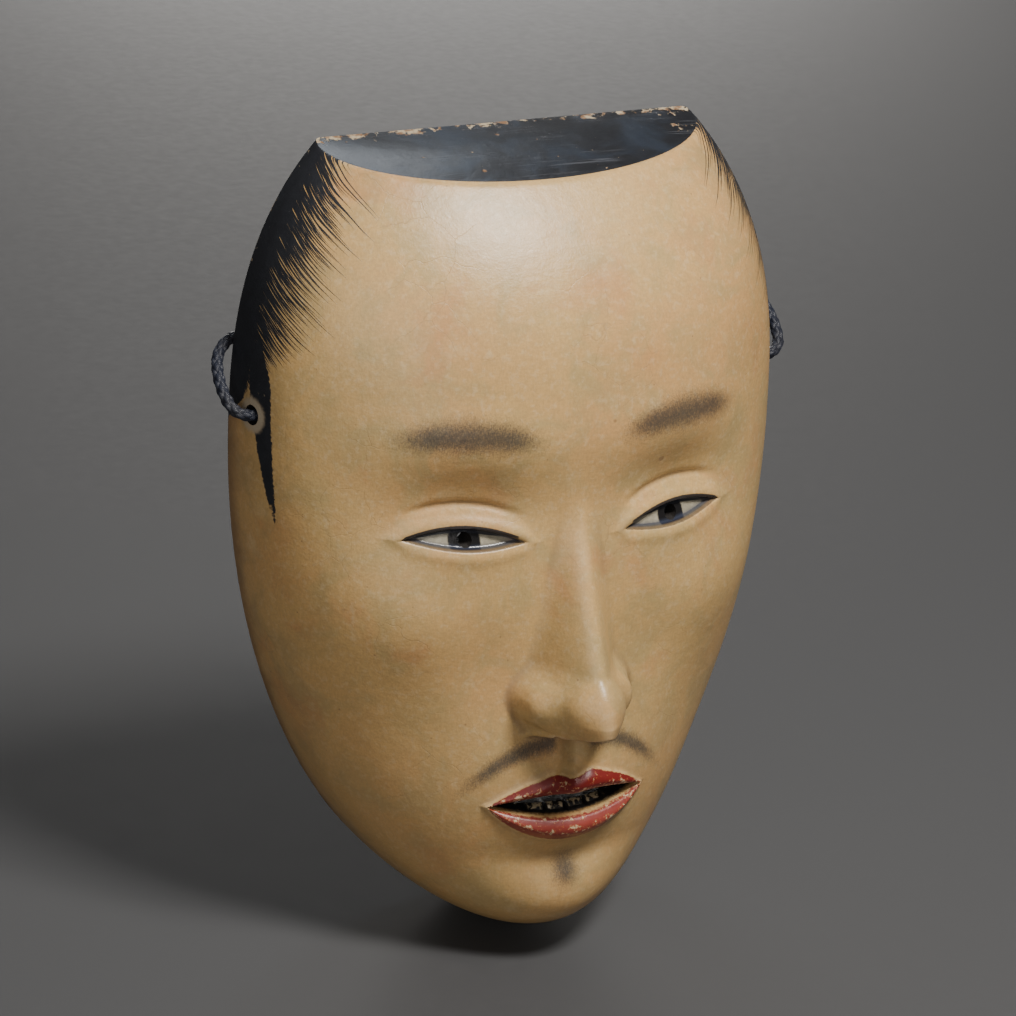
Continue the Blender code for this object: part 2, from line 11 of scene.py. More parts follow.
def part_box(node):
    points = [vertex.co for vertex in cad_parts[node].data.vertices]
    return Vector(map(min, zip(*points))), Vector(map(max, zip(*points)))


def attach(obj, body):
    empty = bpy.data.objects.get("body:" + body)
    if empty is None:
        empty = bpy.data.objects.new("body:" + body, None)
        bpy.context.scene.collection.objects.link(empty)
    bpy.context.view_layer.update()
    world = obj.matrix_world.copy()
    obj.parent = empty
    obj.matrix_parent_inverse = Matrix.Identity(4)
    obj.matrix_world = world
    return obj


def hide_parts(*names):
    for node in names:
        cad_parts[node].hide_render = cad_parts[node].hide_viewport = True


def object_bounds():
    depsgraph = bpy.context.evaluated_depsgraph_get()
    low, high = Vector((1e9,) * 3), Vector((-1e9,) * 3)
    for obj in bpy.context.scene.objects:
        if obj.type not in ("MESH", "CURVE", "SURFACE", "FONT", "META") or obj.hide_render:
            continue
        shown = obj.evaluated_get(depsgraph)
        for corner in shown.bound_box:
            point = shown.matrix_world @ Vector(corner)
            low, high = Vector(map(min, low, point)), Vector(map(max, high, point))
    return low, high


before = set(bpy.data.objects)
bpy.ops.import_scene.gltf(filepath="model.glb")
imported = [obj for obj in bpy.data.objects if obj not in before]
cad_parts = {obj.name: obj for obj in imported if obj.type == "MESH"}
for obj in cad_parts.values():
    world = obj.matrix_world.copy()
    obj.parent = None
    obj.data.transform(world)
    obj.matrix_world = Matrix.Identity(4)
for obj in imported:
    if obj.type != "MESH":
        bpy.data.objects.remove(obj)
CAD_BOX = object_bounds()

bl_info = {
    "name": "Noh Mask",
    "version": (1, 0, 0),
    "blender": (4, 5, 0),
    "location": "3D View > Sidebar > Noh Mask",
    "description": "Finishes a carved noh mask: face, paint, hair, pads and cords",
    "category": "Object",
}

MM = 0.001

# The block as it was cut, in millimetres. Heights count up from the bottom of the chin.
LOW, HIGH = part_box("mask_body")
MASK_HEIGHT = (HIGH.z - LOW.z) / MM
HALF_WIDTH = HIGH.x / MM
HOLE_HEIGHT = -LOW.z / MM
WIDEST_HEIGHT = 130.0
FACE_DEPTH = 50.0
CHIN_ROUNDING = 22.0
CHIN_FLAT = 0.6
FOREHEAD_START = 140.0
FOREHEAD_FALL = 27.0
CROWN_REACH = 94.0
CROWN_POWER = 2.6
CAP_TILT = math.radians(15)
WALL = 8.0
SIDE_POWER = 0.42
HOLE_DEPTH = 12.5
HOLE_RADIUS = 2.5

# The face, by thirds of its height and fifths of its width, in millimetres
EYE_HEIGHT = 114.0
EYE_ACROSS = 27.6
EYE_HALF = 14.2
EYE_RISE = 3.2
EYE_DROP = 1.9
BROW_HEIGHT = 139.0
NOSE_BASE = 67.0
NOSE_TIP = 74.0
NOSE_TIP_DEPTH = 69.5
NOSE_ROOT = 122.0
NOSE_ROOT_DEPTH = 48.5
MOUTH_HEIGHT = 45.0
MOUTH_HALF = 21.0
MOUTH_RISE = 3.2
MOUTH_DROP = 3.8
SLIT_HEIGHT = 44.4
TOOTH_WIDTH = 5.4

# Swellings and hollows of the flesh: (across, height, half width, half height, amount)
FLESH = (
    (0, 46, 26, 17, 3.6),
    (0, 16, 15, 11, 2.4),
    (0, 29.5, 15, 4.5, -2.2),
    (27.6, 119, 17, 11, -5.2),
    (27.6, 113.5, 12.5, 8, 3.6),
    (27, 138, 21, 8, 1.5),
    (0, 137, 12, 10, 0.8),
    (42, 93, 17, 14, 2.6),
    (41, 58, 14, 18, -1.8),
    (22, 82, 9, 12, -1.2),
    (58, 145, 14, 20, -1.4),
    (0, 165, 36, 18, 0.6),
)

# Cords, in millimetres, for the side on +X; the other side is its mirror image
CORD_DIAMETER = 3.0
KNOT_ACROSS = 55.0
RIM_ROUTE = ((58.8, -12.5, 0), (65, -12.5, 0), (71.0, -12.4, 0.1), (74.2, -10.6, 2.2),
             (75.0, -5.6, 6.6), (73.6, -0.4, 11.0), (69.8, 2.8, 13.8), (65.4, 3.4, 14.2),
             (60.7, 2.0, 12.6), (58.8, -3.2, 9.4), (57.0, -8.0, 6.8), (55.8, -10.0, 4.9))
DROP_ROUTE = ((55.0, -12.5, -2.2), (55.0, -12.7, -5.6), (54.9, -14.3, -9.8), (54.4, -16.7, -14.4))
TAIL_ROUTE = ((42.6, -5.3, -51.0), (40.3, -5.2, -56.6), (38.2, -5.9, -60.9), (37.2, -8.2, -64.7),
              (36.95, -10.7, -68.3), (36.88, -11.5, -71.6), (36.88, -11.5, -76.6))
HANK_TOP = (49.0, -11.5, -12.0)
HANK_LEAN = math.radians(13.5)
HANK_LENGTH = 48.0
HANK_WIDTH = 5 * CORD_DIAMETER
HANK_TURNS = 4.18
BINDING_PLACE = (36.88, -11.5, -72.46)
BINDING_LENGTH = 6.0
TIE_HEIGHT = 6.0
END_THREAD = 0.42
BRAID = (3.0, 4, 0.34)  # pitch, strands each way and relief

# Pads: name, across, centre height, half width, half height and thickness, in millimetres
PADS = (
    ("forehead_pad", 0.0, 166.0, 31.0, 13.0, 7.0),
    ("right_cheek_pad", -32.0, 88.0, 12.0, 17.0, 5.5),
    ("left_cheek_pad", 32.0, 88.0, 12.0, 17.0, 5.5),
)


# ---------------------------------------------------------------- user settings

def length(name, description, default):
    """A length property in metres, given in millimetres."""
    return FloatProperty(name=name, description=description, default=default * MM, min=0.0,
                         subtype="DISTANCE", unit="LENGTH", precision=5)


def angle(name, description, default):
    """An angle property in radians, given in degrees."""
    return FloatProperty(name=name, description=description, default=math.radians(default),
                         subtype="ANGLE", unit="ROTATION")


def tint(name, description, default):
    """A colour property."""
    return FloatVectorProperty(name=name, description=description, default=default, size=3,
                               min=0.0, max=1.0, subtype="COLOR")


class MaskSettings(bpy.types.PropertyGroup):
    """Sizes and colours of the carved and painted block."""

    rim_rounding: length("Rim rounding", "Radius worn onto the outer edge of the rim", 1.3)
    cap_rounding: length("Cap rounding", "Radius of the edge between face and cap", 1.0)
    gouge_depth: length("Gouge depth", "Depth of the chisel marks in the hollow", 0.45)
    rows: IntProperty(name="Rows", description="Rows of points over the face", default=330, min=60)
    skin: tint("Skin", "Colour of the aged shell-white coat", (0.650, 0.415, 0.158))
    ink: tint("Ink", "Colour of hair, brows and blackened teeth", (0.011, 0.011, 0.013))
    upper_lip: tint("Upper lip", "Colour of the upper lip", (0.185, 0.012, 0.010))
    lower_lip: tint("Lower lip", "Colour of the lower lip", (0.265, 0.036, 0.027))
    wood: tint("Wood", "Colour of the stained hollow", (0.115, 0.050, 0.022))


class CordSettings(bpy.types.PropertyGroup):
    """Sizes and colours of the cords and their thread."""

    diameter: length("Cord diameter", "Thickness of the braided cord", CORD_DIAMETER)
    thread: length("Thread diameter", "Thickness of the binding thread", 0.62)
    silk: tint("Silk", "Colour of the braided silk", (0.010, 0.013, 0.026))
    red: tint("Thread colour", "Colour of the binding thread", (0.28, 0.030, 0.022))


class PadSettings(bpy.types.PropertyGroup):
    """Stuffing and colour of the pads."""

    pressure: FloatProperty(name="Pressure", description="Air pressure that swells a pad",
                            default=4.0, min=0.0)
    travel: length("Travel", "How far a point of a pad may swell", 1.2)
    cotton: tint("Cotton", "Colour of the unbleached cotton", (0.60, 0.53, 0.40))


class StageSettings(bpy.types.PropertyGroup):
    """Camera, light and floor."""

    azimuth: angle("Azimuth", "Turn of the camera round the mask", -26)
    elevation: angle("Elevation", "Rise of the camera above level", 21)
    roll: angle("Roll", "Lean of the camera", 2.3)
    distance: length("Distance", "Distance of the camera from its aim", 929.0)
    light: FloatProperty(name="Light", description="Power that each lamp takes its share of",
                         default=13.5, min=0.0, unit="POWER")


# ---------------------------------------------------------------- shape of the face

def unit(value):
    """The value, held between 0 and 1."""
    return np.clip(value, 0, 1)


def beyond(value):
    """The value, or 0 where it is below 0."""
    return np.clip(value, 0, None)


def stacked(*columns):
    """Points or faces from arrays of their first, second and further numbers."""
    return np.stack(columns, axis=-1)


def smooth_step(low, high, value):
    """Ease from 0 at low to 1 at high with the cubic 3t^2 - 2t^3."""
    part = unit((value - low) / (high - low))
    return part * part * (3 - 2 * part)


def smooth_max(one, two, blend):
    """The greater of two fields, with a parabola of width blend rounding the corner."""
    mix = unit(0.5 + 0.5 * (one - two) / blend)
    return two + (one - two) * mix + blend * mix * (1 - mix)


def bell(value, width):
    """A bell curve: e to the minus (value / width) squared."""
    return np.exp(-((value / width) ** 2))


def egg_half_width(height, inset=0.0):
    """Half width of the egg outline: a power curve below the widest level and one above."""
    below = unit((WIDEST_HEIGHT - height) / (WIDEST_HEIGHT + CHIN_FLAT - inset))
    above = unit((height - WIDEST_HEIGHT) / (CROWN_REACH - inset))
    return (HALF_WIDTH - inset) * np.power(1 - below**2, 0.54) * np.sqrt(1 - above**CROWN_POWER)


def centre_depth(height, inset=0.0):
    """Depth of the bare dome on its centre line: chin rounding, face and falling forehead."""
    under = unit(1 - (height + CHIN_FLAT - inset) / CHIN_ROUNDING)
    chin = np.power(1 - under**2.4, 1 / 2.4)
    fall = FOREHEAD_FALL * np.power(beyond((height - FOREHEAD_START) / 60), 2.2)
    return (FACE_DEPTH - inset) * chin - fall


def dome_depth(across, height, inset=0.0):
    """Depth of the bare dome: centre depth times (1 - reach squared) to a power."""
    reach = np.clip(across / egg_half_width(height, inset), -1, 1)
    return centre_depth(height, inset) * np.power(1 - reach**2, SIDE_POWER)


def ball(across, height, place, radius):
    """Front of a ball at (across, height, depth), falling away steeply outside its edge."""
    distance = np.hypot(across - place[0], height - place[1])
    inside = np.sqrt(beyond(radius**2 - distance**2))
    return place[2] + inside - 3 * beyond(distance - radius)


def nose_depth(across, height):
    """Bridge, tip and wings joined by rounded maxima, cut off along the base of the nose."""
    run = (NOSE_ROOT - height) / (NOSE_ROOT - NOSE_TIP)
    crest = NOSE_ROOT_DEPTH + (NOSE_TIP_DEPTH - NOSE_ROOT_DEPTH) * np.clip(run, -1, 1.05)
    side = np.sqrt(across**2 + 16) - 4
    brow = beyond(height - NOSE_ROOT - 4)
    bridge = crest - (1.5 + 0.9 * unit(run)) * side - 1.5 * brow
    tip = ball(across, height, (0, NOSE_TIP, NOSE_TIP_DEPTH - 8), 8)
    wing = ball(np.abs(across), height, (8.2, 72.8, 52.9), 6.2)
    nose = smooth_max(smooth_max(bridge, tip, 6), wing, 8)
    base = 54 + 5 * (height - NOSE_BASE + 1.8 + 0.1 * np.abs(across))
    return -smooth_max(-nose, -base, 2.4)


def mouth_edges(across):
    """Heights of the lip edges: border and rim of the upper lip, rim and border of the lower."""
    run = unit(np.abs(across) / MOUTH_HALF)
    arch = 1 - run**2
    bow = 0.8 * bell(np.abs(across) - 5, 3) - 0.6 * bell(across, 2.4)
    upper_rim = MOUTH_HEIGHT + MOUTH_RISE * arch - 0.7 * bell(across, 4)
    upper_border = upper_rim + 4.6 * (1 - run**2.6) + bow
    lower_rim = MOUTH_HEIGHT - MOUTH_DROP * arch
    lower_border = lower_rim - 6.2 * np.power(unit(1 - run**2.2), 0.8)
    return upper_border, upper_rim, lower_rim, lower_border


def mouth_fields(across, height):
    """Signed distances inside the upper lip, the lower lip and the opening between them."""
    upper_border, upper_rim, lower_rim, lower_border = mouth_edges(across)
    past = beyond(np.abs(across) - MOUTH_HALF)
    upper = np.minimum(upper_border - height, height - upper_rim) - past
    lower = np.minimum(lower_rim - height, height - lower_border) - past
    gap = np.minimum(upper_rim - height, height - lower_rim) - past
    return upper, lower, gap


def eye_field(across, height):
    """Signed distance inside either eye: an almond of two parabolas, its outer corner raised."""
    run = np.abs(across) - EYE_ACROSS
    up = height - EYE_HEIGHT - 0.05 * run
    along = unit(1 - (run / EYE_HALF) ** 2)
    past = beyond(np.abs(run) - EYE_HALF)
    return np.minimum(EYE_RISE * along - up, up + EYE_DROP * along) - past


def tooth_gap(across):
    """Distance from the nearest line between two teeth, whose widths shrink to the sides."""
    run = np.abs(across)
    place = run / TOOTH_WIDTH + 0.018 * beyond(run - TOOTH_WIDTH)
    return np.abs(place - np.round(place)) * TOOTH_WIDTH


def face_depth(across, height):
    """Depth of the finished face: dome, flesh, nose, lids, lips and teeth."""
    depth = dome_depth(across, height)
    reach = np.clip(across / egg_half_width(height), -1, 1)
    fade = smooth_step(0, 0.35, 1 - reach**2)
    for place, level, half_width, half_height, amount in FLESH:
        depth = depth + amount * fade * (bell(np.abs(across) - place, half_width)
                                         * bell(height - level, half_height))
    depth = smooth_max(depth, nose_depth(across, height), 3)
    philtrum = smooth_step(66, 61, height) * smooth_step(52, 56, height)
    groove = 0.35 * bell(np.abs(across) - 4.2, 1.8) - 0.9 * bell(across, 2.2)
    upper, lower, gap = mouth_fields(across, height)
    lips = 2.0 * smooth_step(-1.6, 2.2, upper) + 2.4 * smooth_step(-1.6, 2.8, lower)
    rows = np.minimum(np.abs(height - SLIT_HEIGHT) - 0.75, tooth_gap(across) - 0.2)
    teeth = 1.6 * smooth_step(0, 0.7, rows) * smooth_step(0.5, 1.0, gap)
    depth = depth + philtrum * groove + lips + teeth - 5.2 * smooth_step(-0.35, 1.1, gap)
    eye = eye_field(across, height)
    above = smooth_step(EYE_HEIGHT - 2, EYE_HEIGHT + 2, height)
    near_eye = smooth_step(16, 8, np.abs(np.abs(across) - EYE_ACROSS))
    lids = (0.5 + 0.4 * above) * bell(eye + 1.6, 2.0) - 0.8 * above * bell(eye + 6.0, 1.0) * near_eye
    return depth + lids - 1.7 * smooth_step(-0.25, 0.65, eye)


def gouged_depth(across, height, amount):
    """Depth of the hollow: the inner dome, deepened by rows of shallow round-bottomed cuts."""
    reach = np.clip(across / egg_half_width(height, WALL), -1, 1)
    row = height / 11.0 + 0.35 * np.sin(across / 9.0)
    column = across / 7.0 + 0.5 * np.floor(row) + 0.22 * np.sin(height / 6.5)
    hollow = 1 - (2 * (column - np.round(column))) ** 2
    hollow = hollow * (0.45 + 0.55 * (row - np.floor(row)))
    return dome_depth(across, height, WALL) + amount * hollow * smooth_step(0.0, 0.4, 1 - reach**2)


# ---------------------------------------------------------------- grids and meshes

def spread(low, high, count, places):
    """Values from low to high, closer together near places given as (centre, width, gain)."""
    fine = np.linspace(low, high, 4000)
    density = np.ones_like(fine)
    for place, width, gain in places:
        density = density + gain * bell(fine - place, width)
    total = np.concatenate([[0], np.cumsum((density[1:] + density[:-1]) / 2)])
    return np.interp(np.linspace(0, total[-1], count), total, fine)


def quarter_round(away, radius):
    """How far a quarter circle of the radius draws a surface in, at a distance from its edge."""
    part = unit(1 - away / radius)
    return radius * (1 - np.sqrt(unit(1 - part**2)))


def relief_grid(depth_of, half_width_of, heights, angles, crown, rim=0.0, cap=0.0):
    """Rows of points (across, -depth, height) whose last row lies on the sloping cap plane.

    A positive rim rounds the outer edge with a quarter circle, a negative one flares the edge.
    """
    top = np.full(len(angles), float(crown))
    for _ in range(60):
        across = half_width_of(top) * np.sin(angles)
        top = 0.5 * top + 0.5 * (crown - math.tan(CAP_TILT) * depth_of(across, top))
    level = np.repeat(heights[:, None], len(angles), axis=1)
    share = smooth_step(0.5, 1.0, (level - heights[0]) / (heights[-1] - heights[0]))
    level = level + share * (top[None, :] - heights[-1])
    across = half_width_of(level) * np.sin(angles)[None, :]
    depth = depth_of(across, level)
    depth[:, [0, -1]] = 0.0
    if rim:
        radius = np.minimum(abs(rim), 0.3 * half_width_of(level))
        across = across - np.sign(across) * math.copysign(1.0, rim) * quarter_round(depth, radius)
    if cap:
        drawn = quarter_round(top[None, :] - level, cap) * smooth_step(0, 6, depth)
        depth = beyond(depth - drawn)
    return stacked(across, -depth, level)


def facet_grid(edge, reach, count, crown=0.0):
    """Flat facet from an edge row back to the rim plane, swelling by crown at its middle.

    Reach runs from -1 to 1 along the row, and spaces the facet's back edge.
    """
    share = np.linspace(0, 1, count)[:, None]
    slope = (edge[:, 2] - edge[0, 2])[None, :]
    swell = crown * np.sin(math.pi * share) * (1 - reach**2)[None, :]
    across = edge[None, :, 0] * (1 - share) + reach[None, :] * edge[-1, 0] * share
    level = edge[0, 2] + slope * (1 - share) + swell
    return stacked(across, edge[None, :, 1] * (1 - share), level)


def mesh_from_arrays(name, points, faces, slots=None):
    """A mesh in metres from its points, its arrays of faces and their material slots."""
    loops = np.concatenate([part.ravel() for part in faces])
    sizes = np.concatenate([np.full(len(part), part.shape[1]) for part in faces])
    mesh = bpy.data.meshes.new(name)
    mesh.vertices.add(len(points))
    mesh.vertices.foreach_set("co", points.astype(np.float32).ravel())
    mesh.loops.add(len(loops))
    mesh.loops.foreach_set("vertex_index", loops.astype(np.int32))
    mesh.polygons.add(len(sizes))
    starts = np.concatenate([[0], np.cumsum(sizes)[:-1]])
    mesh.polygons.foreach_set("loop_start", starts.astype(np.int32))
    if slots is not None:
        mesh.polygons.foreach_set("material_index", slots.astype(np.int32))
    mesh.update(calc_edges=True)
    return mesh


def weld(mesh, reach=0.0):
    """Turn all faces outward, after merging points within the reach and dropping empty faces."""
    work = bmesh.new()
    work.from_mesh(mesh)
    if reach:
        bmesh.ops.remove_doubles(work, verts=work.verts, dist=reach)
        bmesh.ops.dissolve_degenerate(work, edges=work.edges, dist=reach / 10)
    bmesh.ops.recalc_face_normals(work, faces=work.faces)
    work.to_mesh(mesh)
    work.free()
    return mesh


class Patches:
    """Collects grids of points and turns them into one welded mesh."""

    def __init__(self):
        self.points = np.empty((0, 3))
        self.faces = []
        self.slots = []

    def add_points(self, points):
        """Keep the points and return the number of the first one."""
        start = len(self.points)
        self.points = np.vstack([self.points, points.reshape(-1, 3)])
        return start

    def add_faces(self, faces, slot, flip):
        """Keep faces that all have the same number of corners."""
        self.faces.append(faces[:, ::-1] if flip else faces)
        self.slots.append(np.full(len(faces), slot))

    def grid(self, points, slot, flip=False):
        """Quads between neighbouring rows and columns."""
        rows, columns = points.shape[:2]
        number = self.add_points(points) + np.arange(rows * columns).reshape(rows, columns)
        corners = [number[:-1, :-1], number[:-1, 1:], number[1:, 1:], number[1:, :-1]]
        self.add_faces(np.stack(corners, axis=-1).reshape(-1, 4), slot, flip)

    def halve(self, fine, coarse, slot, flip=False):
        """Triangles between a row of points and a row with every second one."""
        a = self.add_points(fine) + np.arange(0, len(fine) - 2, 2)
        b = self.add_points(coarse) + np.arange(len(coarse) - 1)
        faces = [stacked(a, a + 1, b), stacked(a + 1, b + 1, b), stacked(a + 1, a + 2, b + 1)]
        self.add_faces(np.concatenate(faces), slot, flip)

    def mesh(self, name):
        """One mesh in metres, with the doubled points along the seams merged."""
        points = self.points * MM
        points[:, 2] -= HOLE_HEIGHT * MM
        return weld(mesh_from_arrays(name, points, self.faces, np.concatenate(self.slots)), 1e-6)


SKIN, CAP, HOLLOW, EDGE, BORE = range(5)
EDGE_DEPTHS = np.array([3.4, 2.4, 1.7, 1.2, 0.85, 0.55, 0.3, 0.12, 0.0])


def body_patches(settings):
    """Outer face, cap facet, rim, hollow and the facets that close them."""
    rim, cap, gouge = settings.rim_rounding / MM, settings.cap_rounding / MM, settings.gouge_depth / MM
    chin = CHIN_ROUNDING * (1 - np.cos(np.linspace(0, math.pi / 2, 25)))
    near_cap = MASK_HEIGHT - EDGE_DEPTHS
    count = settings.rows - len(chin) - len(near_cap)
    features = ((45, 9, 2.5), (70, 8, 2.0), (EYE_HEIGHT, 7, 3.0))
    heights = np.concatenate([chin[:-1], spread(CHIN_ROUNDING, near_cap[0] - 0.9, count, features),
                              near_cap])
    near_rim = np.arccos(np.power(EDGE_DEPTHS / FACE_DEPTH, 0.5 / SIDE_POWER))
    wide = near_rim[0] - 0.012
    middle = spread(-wide, wide, 183, ((0, 0.32, 2.0), (0.42, 0.16, 1.2), (-0.42, 0.16, 1.2)))
    angles = np.concatenate([-near_rim[::-1], middle, near_rim])
    # The hollow takes every second row, so the rows are odd in number
    heights = heights if len(heights) % 2 else np.delete(heights, 30)
    outer = relief_grid(face_depth, egg_half_width, heights, angles, MASK_HEIGHT, rim, cap)
    deep = np.interp(heights[::2], (0, MASK_HEIGHT), (WALL, MASK_HEIGHT - WALL - 1))
    inner = relief_grid(lambda x, h: gouged_depth(x, h, gouge), lambda h: egg_half_width(h, WALL),
                        deep, angles[::2], MASK_HEIGHT - WALL - 1, -0.8)
    reach = np.sin(angles) / math.sin(angles[-1])
    patches = Patches()
    for points, slot, flip in ((outer, SKIN, False),
                               (facet_grid(outer[-1], reach, 22, 0.8), CAP, False),
                               (facet_grid(outer[0], reach, 4), SKIN, True),
                               (inner, HOLLOW, True),
                               (facet_grid(inner[-1], reach[::2], 12), HOLLOW, True),
                               (facet_grid(inner[0], reach[::2], 4), HOLLOW, False)):
        patches.grid(points, slot, flip)
    for column, flip in ((0, True), (-1, False)):
        join(patches, outer[:, column], inner[:, column], flip)
    for row, flip in ((-1, False), (0, True)):
        far_edge = [stacked(part * line[row, -1, 0], 0 * part, 0 * part + line[row, 0, 2])
                    for line, part in ((outer, reach), (inner, reach[::2]))]
        join(patches, far_edge[0], far_edge[1], flip)
    return patches


def join(patches, edge, far, flip):
    """Rim strip between the outer edge and the edge of the hollow, which has half the points."""
    middle = edge[::2] * 0.85 + far * 0.15
    patches.halve(edge, middle, EDGE, flip)
    share = np.linspace(0, 1, 5)[:, None, None]
    patches.grid(middle * (1 - share) + far * share, EDGE, flip)


def link(name, mesh, *materials):
    """Put a mesh into the scene under its name, with its materials in order."""
    mesh.name = name
    item = bpy.data.objects.new(name, mesh)
    bpy.context.scene.collection.objects.link(item)
    for material in materials:
        item.data.materials.append(material)
    return item


def bar(name, outline, start, end, flare=1.0):
    """Closed bar: an outline of (x, y) points carried from start to end, growing by flare."""
    start, end = np.array(start, float), np.array(end, float)
    along = (end - start) / np.linalg.norm(end - start)
    side = np.cross(along, (0, 0, 1.0) if abs(along[2]) < 0.9 else (1.0, 0, 0))
    side = side / np.linalg.norm(side)
    rise = np.cross(side, along)
    ring = outline[:, :1] * side + outline[:, 1:] * rise
    points = np.concatenate([start + ring, end + ring * flare]) * MM
    count = len(outline)
    here = np.arange(count)
    there = (here + 1) % count
    walls = stacked(here, there, there + count, here + count)
    faces = [walls, here[None, ::-1], here[None] + count]
    return weld(mesh_from_arrays(name, points, faces, np.full(count + 2, BORE)))


def oval(half_width, half_height, count=40, power=2.0):
    """Outline whose points satisfy (x / a)^power + (y / b)^power = 1."""
    turn = np.linspace(0, 2 * math.pi, count, endpoint=False)
    x, y = np.cos(turn), np.sin(turn)
    return stacked(half_width * np.sign(x) * np.abs(x) ** (2 / power),
                   half_height * np.sign(y) * np.abs(y) ** (2 / power))


def pierce(item):
    """Open the pupils, nostrils, mouth and cord holes right through the wood."""
    eye, nose, slit = (level - HOLE_HEIGHT for level in (EYE_HEIGHT + 0.4, NOSE_BASE, SLIT_HEIGHT))
    bars = [bar("mouth_bar", oval(13, 0.85, 60, 5), (0, -75, slit), (0, -25, slit))]
    for side in (-1, 1):
        for name, radius, start, end, flare in (
                ("pupil_bar", 2.4, (EYE_ACROSS, -57, eye), (EYE_ACROSS, -30, eye), 0.45),
                ("nostril_bar", 2.1, (6, -66, nose - 6), (7, -30, nose + 13), 1.0),
                ("hole_bar", HOLE_RADIUS, (52, -HOLE_DEPTH, 0), (82, -HOLE_DEPTH, 0), 1.0)):
            ends = mirrored(side, start), mirrored(side, end)
            bars.append(bar(name, oval(radius, radius), *ends, flare))
    for mesh in bars:
        cutter = link(mesh.name, mesh)
        cut = item.modifiers.new(mesh.name, "BOOLEAN")
        cut.operation = "DIFFERENCE"
        cut.solver = "EXACT"
        cut.object = cutter
        bake(item)
        bpy.data.objects.remove(cutter, do_unlink=True)


def read(collection, key, width):
    """One value or vector per element as an array."""
    values = np.empty(len(collection) * width, dtype=np.float32)
    collection.foreach_get(key, values)
    return values.reshape(-1, width) if width > 1 else values


def hollowness(mesh, passes=4):
    """Curvature in 1/mm, above 0 in creases: neighbours' mean offset along the normal."""
    points = read(mesh.vertices, "co", 3) / MM
    normals = read(mesh.vertices, "normal", 3)
    ends = np.empty(len(mesh.edges) * 2, dtype=np.int32)
    mesh.edges.foreach_get("vertices", ends)
    one, two = ends.reshape(-1, 2).T
    count = len(points)

    def gather(to_one, to_two):
        """Sum over each point's edges of what its end of each edge is given."""
        return np.bincount(one, to_one, count) + np.bincount(two, to_two, count)

    rise = points[two] - points[one]
    links = np.maximum(gather(np.ones(len(one)), np.ones(len(one))), 1)
    span = (rise**2).sum(1)
    lift = gather((rise * normals[one]).sum(1), -(rise * normals[two]).sum(1))
    bend = 2 * lift / np.maximum(gather(span, span), 1e-6)
    for _ in range(passes):
        bend = 0.5 * bend + 0.5 * gather(bend[two], bend[one]) / links
    return np.clip(bend, -1, 1)


def hair_fields(away, level):
    """Signed distance inside the painted hair, and inside its swept-back part alone.

    The swept edge's distance from the rim, along the surface, is a curve of the level. A
    sideburn, a blade that tapers to a point at both ends, is joined to it in front of the
    cord hole.
    """
    edge = np.interp(level, (128, 137, 143, 156, 176, 190, 203), (-6, 2, 8.5, 11, 10, 8.5, 6))
    sweep = edge - away
    along = (150 - level) / 36
    centre = 14.3 + 6.5 * along
    half = 4.2 * np.power(unit(1 - along), 0.75) * smooth_step(-0.38, 0.10, along)
    tuft = half - np.abs(away - centre) - 30 * beyond(np.abs(along - 0.3) - 0.7)
    behind_hole = (level < 136) & (away < 12)
    field = np.where(behind_hole, tuft, smooth_max(sweep, tuft, 1.2))
    return np.clip(field, -25, 12), np.clip(sweep, -25, 12)


def paint_fields(mesh):
    """Store the painted areas of the face on its points, worked out from where they lie."""
    points = read(mesh.vertices, "co", 3) / MM
    across, depth, level = points[:, 0], -points[:, 1], points[:, 2] + HOLE_HEIGHT
    front = depth > dome_depth(across, level) - 6.5
    upper, lower, gap = mouth_fields(across, level)
    side = np.abs(across)
    hair, sweep = hair_fields(np.hypot(depth, egg_half_width(level) - side), level)
    brow_run = (side - 28) / 19
    brow_line = BROW_HEIGHT + 2.2 * (1 - brow_run**2) + 0.6 * brow_run
    brow = bell(level - brow_line, 5.4 * (1 - 0.35 * np.abs(brow_run)))
    brow = brow * smooth_step(1.25, 0.45, np.abs(brow_run))
    whisker_line = 61.0 - 0.024 * beyond(side - 4) ** 2
    whisker = bell(level - whisker_line, 3.1) * smooth_step(2.5, 6.0, side) * smooth_step(33, 19, side)
    tuft = 1.2 * bell(level - 25.5, 5.0) * bell(across, 4.4)
    hole = np.hypot(depth - HOLE_DEPTH, level - HOLE_HEIGHT)
    for name, values in {
            "hair_edge": hair, "hair_sweep": sweep,
            "upper_lip": np.where(front, upper, -9),
            "lower_lip": np.where(front, lower, -9),
            "mouth_gap": np.where(front, gap, -9),
            "eye_edge": np.where(front, eye_field(across, level), -9),
            "pupil_away": np.hypot(side - EYE_ACROSS, level - EYE_HEIGHT),
            "eye_level": level - EYE_HEIGHT,
            "brush_hair": unit(0.95 * brow + 0.9 * whisker + 0.75 * tuft),
            "tooth_gap": tooth_gap(across),
            "hole_away": np.where(side > 50, hole, 30),
            "crease": hollowness(mesh)}.items():
        layer = mesh.attributes.new(name, "FLOAT", "POINT")
        layer.data.foreach_set("value", values.astype(np.float32))


# ---------------------------------------------------------------- finishes

def sum_of(operation, swapped=False):
    """An operator between values that adds one math node."""
    def run(one, two):
        return one.recipe.math(operation, *((two, one) if swapped else (one, two)))
    return run


